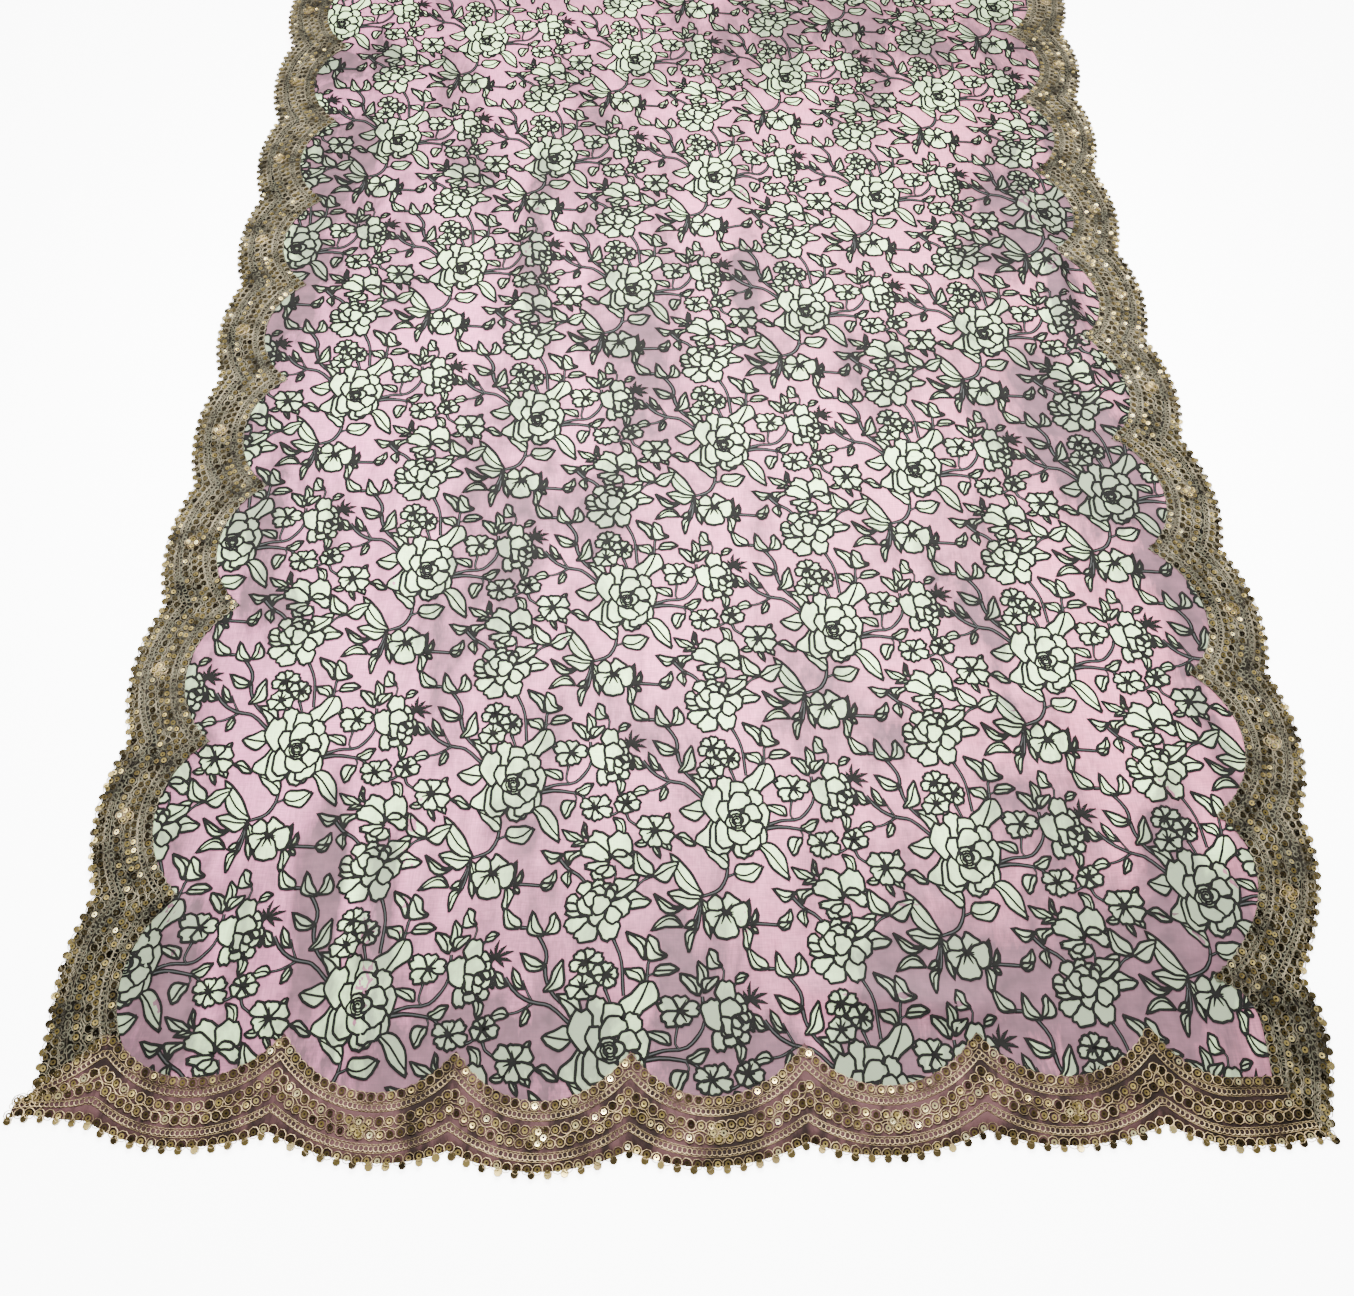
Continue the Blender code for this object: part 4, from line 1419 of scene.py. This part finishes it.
# %% Tree: printed repeats
def make_print_tree():
    made = GeometryTree("printed repeats", [
        ("Drawing", "Object"), ("Cloth", "Object"), ("Bare near", "Object"), ("Bare far", "Object"),
        ("First repeat", "Vector"), ("Step across", "Vector"), ("Step down", "Vector"),
        ("Repeats each way", "Int", 13), ("Reach", "Vector"), ("Height", "Float", 0.0003),
        ("Pull", "Float", -0.012)])
    ins = made.inputs
    size = made.maths("SUBTRACT", ins["Repeats each way"], 1.0)
    grid = made.add("GeometryNodeMeshGrid", {"Size X": size, "Size Y": size,
                                             "Vertices X": ins["Repeats each way"],
                                             "Vertices Y": ins["Repeats each way"]})
    index = made.parts(made.position())
    steps = made.vector("ADD", made.scaled(ins["Step across"], index["X"]),
                        made.scaled(ins["Step down"], index["Y"]))
    lattice = made.moved(grid.outputs["Mesh"],
                         Position=made.vector("ADD", steps, ins["First repeat"]))
    # Lattice points further out than the reach carry no repeat.
    over = made.parts(made.vector("SUBTRACT", made.vector("ABSOLUTE", made.position()),
                                  ins["Reach"]))
    outside = made.add("FunctionNodeCompare", {"A": made.maths("MAXIMUM", over["X"], over["Y"]),
                                               "B": 0.0},
                       data_type="FLOAT", operation="GREATER_THAN")
    copies = made.add("GeometryNodeInstanceOnPoints", {
        "Points": made.without(lattice, outside.outputs[0]), "Instance": made.shape_of("Drawing")})
    real = made.add("GeometryNodeRealizeInstances", {"Geometry": copies.outputs[0]}).outputs[0]
    # The pull of the near left corner.
    here = made.parts(made.position())
    near = made.ranged(here["Y"], -0.95, -1.07, smooth=True)
    left = made.ranged(here["X"], 0.04, -0.12, smooth=True)
    pull = made.maths("MULTIPLY", made.maths("MULTIPLY", near, left), ins["Pull"])
    askew = made.moved(real, Offset=made.add("ShaderNodeCombineXYZ", {"X": pull}).outputs[0])
    # The ink has spread a little more in the middle of the cloth, so lines are broader there.
    spread = made.maths("MULTIPLY", made.ranged(here["Y"], -1.05, -0.45, 0.05, 0.46),
                        made.ranged(here["Y"], -0.20, 0.30, 1.0, 0.25))
    side = made.add("GeometryNodeInputNamedAttribute", {"Name": "side"}, data_type="FLOAT_VECTOR")
    inked = made.moved(askew, Offset=made.scaled(side.outputs["Attribute"], spread))
    # Straight down from above: what is hit, and where.
    above = made.vector("ADD", made.position(), (0.0, 0.0, 0.2))
    rays = [made.add("GeometryNodeRaycast", {"Target Geometry": made.shape_of(name),
                                             "Source Position": above,
                                             "Ray Direction": (0.0, 0.0, -1.0),
                                             "Ray Length": 1.0}).outputs
            for name in ("Cloth", "Bare near", "Bare far")]
    bare = made.boolean("OR", rays[1]["Is Hit"], rays[2]["Is Hit"])
    drop = made.boolean("OR", made.boolean("NOT", rays[0]["Is Hit"]), bare)
    height = made.maths("ADD", made.parts(rays[0]["Hit Position"])["Z"], ins["Height"])
    flat = made.parts(made.position())
    landed = made.add("ShaderNodeCombineXYZ", {"X": flat["X"], "Y": flat["Y"], "Z": height})
    laid = made.moved(made.without(inked, drop), Position=landed.outputs[0])
    return made.finished(laid, smooth=True)


print_tree = make_print_tree()
print("print tree nodes:", len(print_tree.nodes))

# %% Print the cloth
PRINT_UNDER_NET = 0.008                # how far the print runs on under the net at the short ends


def bare_patch(length):
    """A flat patch that marks where the print has stopped at a short end."""
    edges = [(INNER_EDGE[0] + PRINT_UNDER_NET, INNER_EDGE[1]), (OUTER_EDGE[0] + 0.02, OUTER_EDGE[1])]
    rows = [[(p.x, p.y, 0.0) for p in length.row(edge)] for edge in edges]
    count = len(rows[0])
    faces = [(k, k + 1, count + k + 1, count + k) for k in range(count - 1)]
    return new_object("bare_" + length.name, rows[0] + rows[1], faces)


bare = {length.name: bare_patch(length) for length in lengths if length.along_x}
FIRST_REPEAT = (-0.0728, 0.0047, 0.0)
REPEATS_EACH_WAY = 13
PRINT_REACH = (0.66, 1.32, 1.0)
CORNER_PULL = -0.012                   # how far the near left of the print is pulled along X
FILL_HEIGHT = 0.00025
STEM_HEIGHT = 0.00048
LINE_HEIGHT = 0.00058


def lay_print(name, sheet, finish, height):
    drawing = sheet.to_object("drawing")
    start = new_object("start", [(0.0, 0.0, 0.0)], [])
    made = grow(name, start, print_tree, {
        "Drawing": drawing, "Cloth": cloth, "Bare near": bare["near"], "Bare far": bare["far"],
        "First repeat": FIRST_REPEAT, "Step across": (*(STEP_ACROSS * MM), 0.0),
        "Step down": (*(STEP_DOWN * MM), 0.0), "Repeats each way": REPEATS_EACH_WAY,
        "Reach": PRINT_REACH, "Height": height, "Pull": CORNER_PULL, "Finish": finish})
    bpy.data.objects.remove(drawing, do_unlink=True)
    return made


cream_fills = lay_print("print_cream", sheets["fill"], cream_finish, FILL_HEIGHT)
flower_lines = lay_print("print_flower_lines", sheets["flower"], line_finish, LINE_HEIGHT)
leaf_lines = lay_print("print_leaf_lines", sheets["leaf"], line_finish, LINE_HEIGHT)
stem_lines = lay_print("print_stems", sheets["stem"], stem_finish, STEM_HEIGHT)
for patch in bare.values():
    bpy.data.objects.remove(patch, do_unlink=True)

# %% [markdown]
# ## The gold work
#
# The border is worked in rows that follow the scallops. From the inside out: a row of sequins,
# each in a loop of thread; a chain of small rings between two thin threads; a wavy vine with
# looped sequins on both sides and a small flower mid-scallop; a second chain; and sequins
# along the edge with more hanging from them. Each row is a path, and geometry nodes string the
# pieces along it.

# %% Tree: pieces along a path
def make_string_tree():
    made = GeometryTree("pieces along a path", [
        ("Piece", "Object"), ("Spacing", "Float", 0.006), ("Lean", "Float", 0.15),
        ("Turn", "Float", 0.3), ("Smallest", "Float", 0.95), ("Largest", "Float", 1.05),
        ("Seed", "Int", 1), ("On a path", "Bool", True), ("Darkest", "Float", 0.0),
        ("Lightest", "Float", 1.0)])
    ins = made.inputs
    places = made.add("GeometryNodeSwitch", {"Switch": ins["On a path"], "False": ins["Geometry"],
                                             "True": made.even_path()}, input_type="GEOMETRY")
    tangent = made.add("GeometryNodeInputTangent").outputs[0]
    heading = made.add("FunctionNodeAlignRotationToVector", {"Vector": tangent}, axis="X",
                       pivot_axis="Z")

    def random_value(low, high, offset):
        seed = made.maths("ADD", ins["Seed"], float(offset))
        node = made.add("FunctionNodeRandomValue", {2: low, 3: high, "Seed": seed},
                        data_type="FLOAT")
        return node.outputs[1]

    def either_way(label, offset):
        return random_value(made.maths("MULTIPLY", ins[label], -1.0), ins[label], offset)

    lean = made.add("ShaderNodeCombineXYZ", {"X": either_way("Lean", 10),
                                             "Y": either_way("Lean", 20),
                                             "Z": either_way("Turn", 30)})
    turn = made.add("FunctionNodeEulerToRotation", {"Euler": lean.outputs[0]})
    both = made.add("FunctionNodeRotateRotation", {"Rotation": heading.outputs[0],
                                                   "Rotate By": turn.outputs[0]},
                    rotation_space="LOCAL")
    size = random_value(ins["Smallest"], ins["Largest"], 40)
    copies = made.add("GeometryNodeInstanceOnPoints", {
        "Points": places.outputs[0], "Instance": made.shape_of("Piece"),
        "Rotation": both.outputs[0], "Scale": size})
    # A random tone for each piece; on sequins it also paints their glints and dark reflections.
    tone = made.add("GeometryNodeStoreNamedAttribute", {
        "Geometry": copies.outputs[0], "Name": "tone",
        "Value": random_value(ins["Darkest"], ins["Lightest"], 50)},
        data_type="FLOAT", domain="INSTANCE")
    real = made.add("GeometryNodeRealizeInstances", {"Geometry": tone.outputs[0]})
    return made.finished(real.outputs[0], smooth=False)


string_tree = make_string_tree()


# %% Tree: a thread along a path
def make_thread_tree():
    made = GeometryTree("thread along a path", [
        ("Spacing", "Float", 0.005), ("Radius", "Float", 0.0004), ("Sides", "Int", 3),
        ("Wave length", "Float", 0.008), ("Wave height", "Float", 0.0)])
    ins = made.inputs
    run = made.add("GeometryNodeSplineParameter").outputs["Length"]
    turns = made.maths("DIVIDE", run, ins["Wave length"])
    wave = made.maths("SINE", made.maths("MULTIPLY", turns, 2.0 * math.pi))
    height = made.maths("MULTIPLY", wave, ins["Wave height"])
    side = made.vector("CROSS_PRODUCT", made.add("GeometryNodeInputTangent").outputs[0],
                       (0.0, 0.0, 1.0))
    wavy = made.moved(made.even_path(), Offset=made.scaled(side, height))
    ring = made.add("GeometryNodeCurvePrimitiveCircle", {"Resolution": ins["Sides"],
                                                         "Radius": ins["Radius"]}, mode="RADIUS")
    tube = made.add("GeometryNodeCurveToMesh", {"Curve": wavy, "Profile Curve": ring.outputs[0],
                                                "Fill Caps": True})
    return made.finished(tube.outputs[0], smooth=True)


thread_tree = make_thread_tree()
print("string tree and thread tree")


# %% Paths over the border
SHORT_ENDS = ("near", "far")
LONG_SIDES = ("right", "left")


def row_paths(rows, rise):
    """One object with a line of edges for each row on each of its lengths, just over the net."""
    points, links = [], []
    for edge, names in rows:
        for length in lengths:
            if length.name not in names:
                continue
            xy = np.array([tuple(p) for p in length.row(edge)])
            heights = lift(xy[:, 0], xy[:, 1]) + NET_TOP + rise
            base = len(points)
            points += [(x, y, z) for (x, y), z in zip(xy, heights)]
            links += [(base + k, base + k + 1) for k in range(len(xy) - 1)]
    return new_object("path", points, [], links, smooth=False)


# %% Small pieces
def turned_piece(name, profile, segments, long=1.0):
    """A shape turned round an upright axis. Columns of the profile: radius, height."""
    points, faces = [], []
    middle = profile[0][0] == 0.0
    rings = profile[1:] if middle else profile
    for k in range(segments):
        angle = 2.0 * math.pi * k / segments
        points += [(long * r * math.cos(angle), r * math.sin(angle), z) for r, z in rings]
    count = len(rings)
    for k in range(segments):
        after = (k + 1) % segments
        for j in range(count - 1):
            faces.append((k * count + j, k * count + j + 1, after * count + j + 1, after * count + j))
        if middle:
            faces.append((len(points), k * count, after * count))
    if middle:
        points.append((0.0, 0.0, profile[0][1]))
    return new_object(name, points, faces, smooth=True)


SEQUIN_RADIUS = 0.0021
LOOP_RADIUS = 0.0033
LOOP_WIRE = 0.00026
CHAIN_RADIUS = 0.0019
CHAIN_WIRE = 0.00022
sequin = turned_piece("sequin", [(0.00080, 0.00080), (SEQUIN_RADIUS, 0.00088)], 8)
loop = turned_piece("loop", [(LOOP_RADIUS - LOOP_WIRE, 0.0001), (LOOP_RADIUS, 0.0010),
                             (LOOP_RADIUS + LOOP_WIRE, 0.0001)], 8, long=1.14)
link_ring = turned_piece("chain ring", [(CHAIN_RADIUS - CHAIN_WIRE, 0.0006),
                                        (CHAIN_RADIUS + CHAIN_WIRE, 0.0008)], 8)
hanging_sequin = turned_piece("hanging sequin", [(0.0, 0.0009), (0.0026, 0.0010)], 8)
hanging_loop = turned_piece("hanging loop", [(0.0025, 0.0006), (0.0028, 0.0012), (0.0030, 0.0002)], 8)
small_pieces = [sequin, loop, link_ring, hanging_sequin, hanging_loop]
print("triangles of each:", {piece.name: triangle_count(piece) for piece in small_pieces})


# %% String the rows
def string_pieces(name, path, piece, spacing, finish, seed, lean=0.16, turn=0.9, tone_and_glint_range=(0.0, 1.0)):
    """Pieces strung along a path, or set on its points where the spacing is 0."""
    return grow(name, path, string_tree, {
        "Piece": piece, "On a path": spacing > 0.0, "Spacing": spacing or 1.0, "Lean": lean,
        "Turn": turn, "Smallest": 0.92, "Largest": 1.07, "Seed": seed, "Darkest": tone_and_glint_range[0],
        "Lightest": tone_and_glint_range[1], "Finish": finish})


def lay_thread(name, path, finish, radius, spacing=0.0055, wave_length=0.008, wave_height=0.0):
    return grow(name, path, thread_tree, {
        "Spacing": spacing, "Radius": radius, "Sides": 3, "Wave length": wave_length,
        "Wave height": wave_height, "Finish": finish})


# Depth at a cusp, and how much further out mid-scallop.
INNER_SEQUINS = (0.0040, 0.0312)
INNER_CHAIN = (0.0140, 0.0278)
SIDE_INFILL = [(0.0203, 0.0262), (0.0545, 0.0165)]
VINE = (0.0318, 0.0232)
VINE_SIDES = [(0.0265, 0.0244), (0.0371, 0.0220)]
OUTER_CHAIN = (0.0483, 0.0190)
EDGE_SEQUINS = (0.0613, 0.0133)
END_HANGING = (0.0658, 0.0122)
SIDE_HANGING = (0.0648, 0.0120)
SEQUIN_SPACING = 0.0070
END_HANGING_SPACING = 0.0112
SIDE_HANGING_SPACING = 0.0096
RING_SPACING = 0.0034
# Heights of the rows over the net.
SEQUIN_RISE = 0.0002
HANGING_RISE = -0.0004
CHAIN_RISE = 0.0001
THREAD_RISE = 0.0003
VINE_RISE = 0.0006
FLOWER_RISE = 0.0008

sequin_rows = [INNER_SEQUINS, *VINE_SIDES, EDGE_SEQUINS]
end_rows = [(edge, SHORT_ENDS) for edge in sequin_rows]
side_rows = [(edge, LONG_SIDES) for edge in sequin_rows + SIDE_INFILL]
gold = [
    string_pieces("end_sequins", row_paths(end_rows, SEQUIN_RISE), sequin, SEQUIN_SPACING,
                  sequin_finish, 7, tone_and_glint_range=(0.16, 1.0)),
    string_pieces("side_sequins", row_paths(side_rows, SEQUIN_RISE), sequin, SEQUIN_SPACING,
                  sequin_finish, 9, tone_and_glint_range=(0.0, 0.97)),
    string_pieces("end_loops", row_paths(end_rows, SEQUIN_RISE), loop, SEQUIN_SPACING,
                  end_thread_finish, 8),
    string_pieces("side_loops", row_paths(side_rows, SEQUIN_RISE), loop, SEQUIN_SPACING,
                  side_thread_finish, 6),
]

# %% Chains, and the sequins that hang from the edge
for part, names, finish, edge, gap in [
        ("end", SHORT_ENDS, end_thread_finish, END_HANGING, END_HANGING_SPACING),
        ("side", LONG_SIDES, side_thread_finish, SIDE_HANGING, SIDE_HANGING_SPACING)]:
    hanging = [(edge, names)]
    chains = [(chain, names) for chain in (INNER_CHAIN, OUTER_CHAIN)]
    gold += [
        string_pieces(f"hanging_{part}_sequins", row_paths(hanging, HANGING_RISE), hanging_sequin,
                      gap, sequin_finish, 11, lean=0.2, tone_and_glint_range=(0.1, 0.95)),
        string_pieces(f"hanging_{part}_loops", row_paths(hanging, HANGING_RISE), hanging_loop,
                      gap, finish, 11, lean=0.2),
        string_pieces(f"{part}_chain", row_paths(chains, CHAIN_RISE), link_ring, RING_SPACING, finish,
                      3, lean=0.05),
    ]

# %% Sequin flowers, one in the middle of each scallop
FLOWER_REACH = 0.0036


def flower_spots(rise):
    """Four places round the vine's middle on every scallop."""
    points = []
    for length in lengths:
        for cusp in length.cusps[:-1]:
            along = cusp + length.pitch / 2.0
            middle = length.point(along, length.depth(along, VINE))
            for x, y in ((1, 0), (0, 1), (-1, 0), (0, -1)):
                spot = middle + Vector((x, y)) * FLOWER_REACH
                points.append((spot.x, spot.y, float(lift(spot.x, spot.y)) + NET_TOP + rise))
    return new_object("spots", points, [], smooth=False)


gold.append(string_pieces("flower_sequins", flower_spots(FLOWER_RISE), sequin, 0.0, sequin_finish, 21,
                          tone_and_glint_range=(0.72, 1.0)))
gold.append(string_pieces("flower_loops", flower_spots(FLOWER_RISE), loop, 0.0, end_thread_finish, 21))

# %% Threads beside the chains, and the vine
CHAIN_HALF = 0.0027
THREAD_RADIUS = 0.00024
VINE_RADIUS = 0.00046
VINE_STEP = 0.0026
VINE_WAVE_LENGTH = 0.0140
VINE_WAVE_HEIGHT = 0.0013


def beside(edge, off):
    return (edge[0] + off, edge[1])


for part, names, finish in [("end", SHORT_ENDS, end_thread_finish),
                            ("side", LONG_SIDES, side_thread_finish)]:
    thread_rows = [(beside(edge, off), names) for edge in (INNER_CHAIN, OUTER_CHAIN)
                   for off in (-CHAIN_HALF, CHAIN_HALF)]
    gold += [
        lay_thread(part + "_chain_threads", row_paths(thread_rows, THREAD_RISE), finish,
                   THREAD_RADIUS),
        lay_thread(part + "_vine", row_paths([(VINE, names)], VINE_RISE), finish, VINE_RADIUS,
                   VINE_STEP, VINE_WAVE_LENGTH, VINE_WAVE_HEIGHT),
    ]

for name, net in nets.items():
    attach(net, "root")
    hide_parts("trim_" + name)
for piece in gold:
    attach(piece, "root")
printed = [cloth, cream_fills, flower_lines, leaf_lines, stem_lines]
# Each printed piece carries the bands' painted shade on its points.
for piece in printed:
    mark_painted_shade(piece)
    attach(piece, "root")
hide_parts("printed_panel")

for piece in small_pieces:
    bpy.data.objects.remove(piece, do_unlink=True)
total = sum(triangle_count(piece) for piece in [*nets.values(), *gold, *printed])
print("triangles in all:", total)
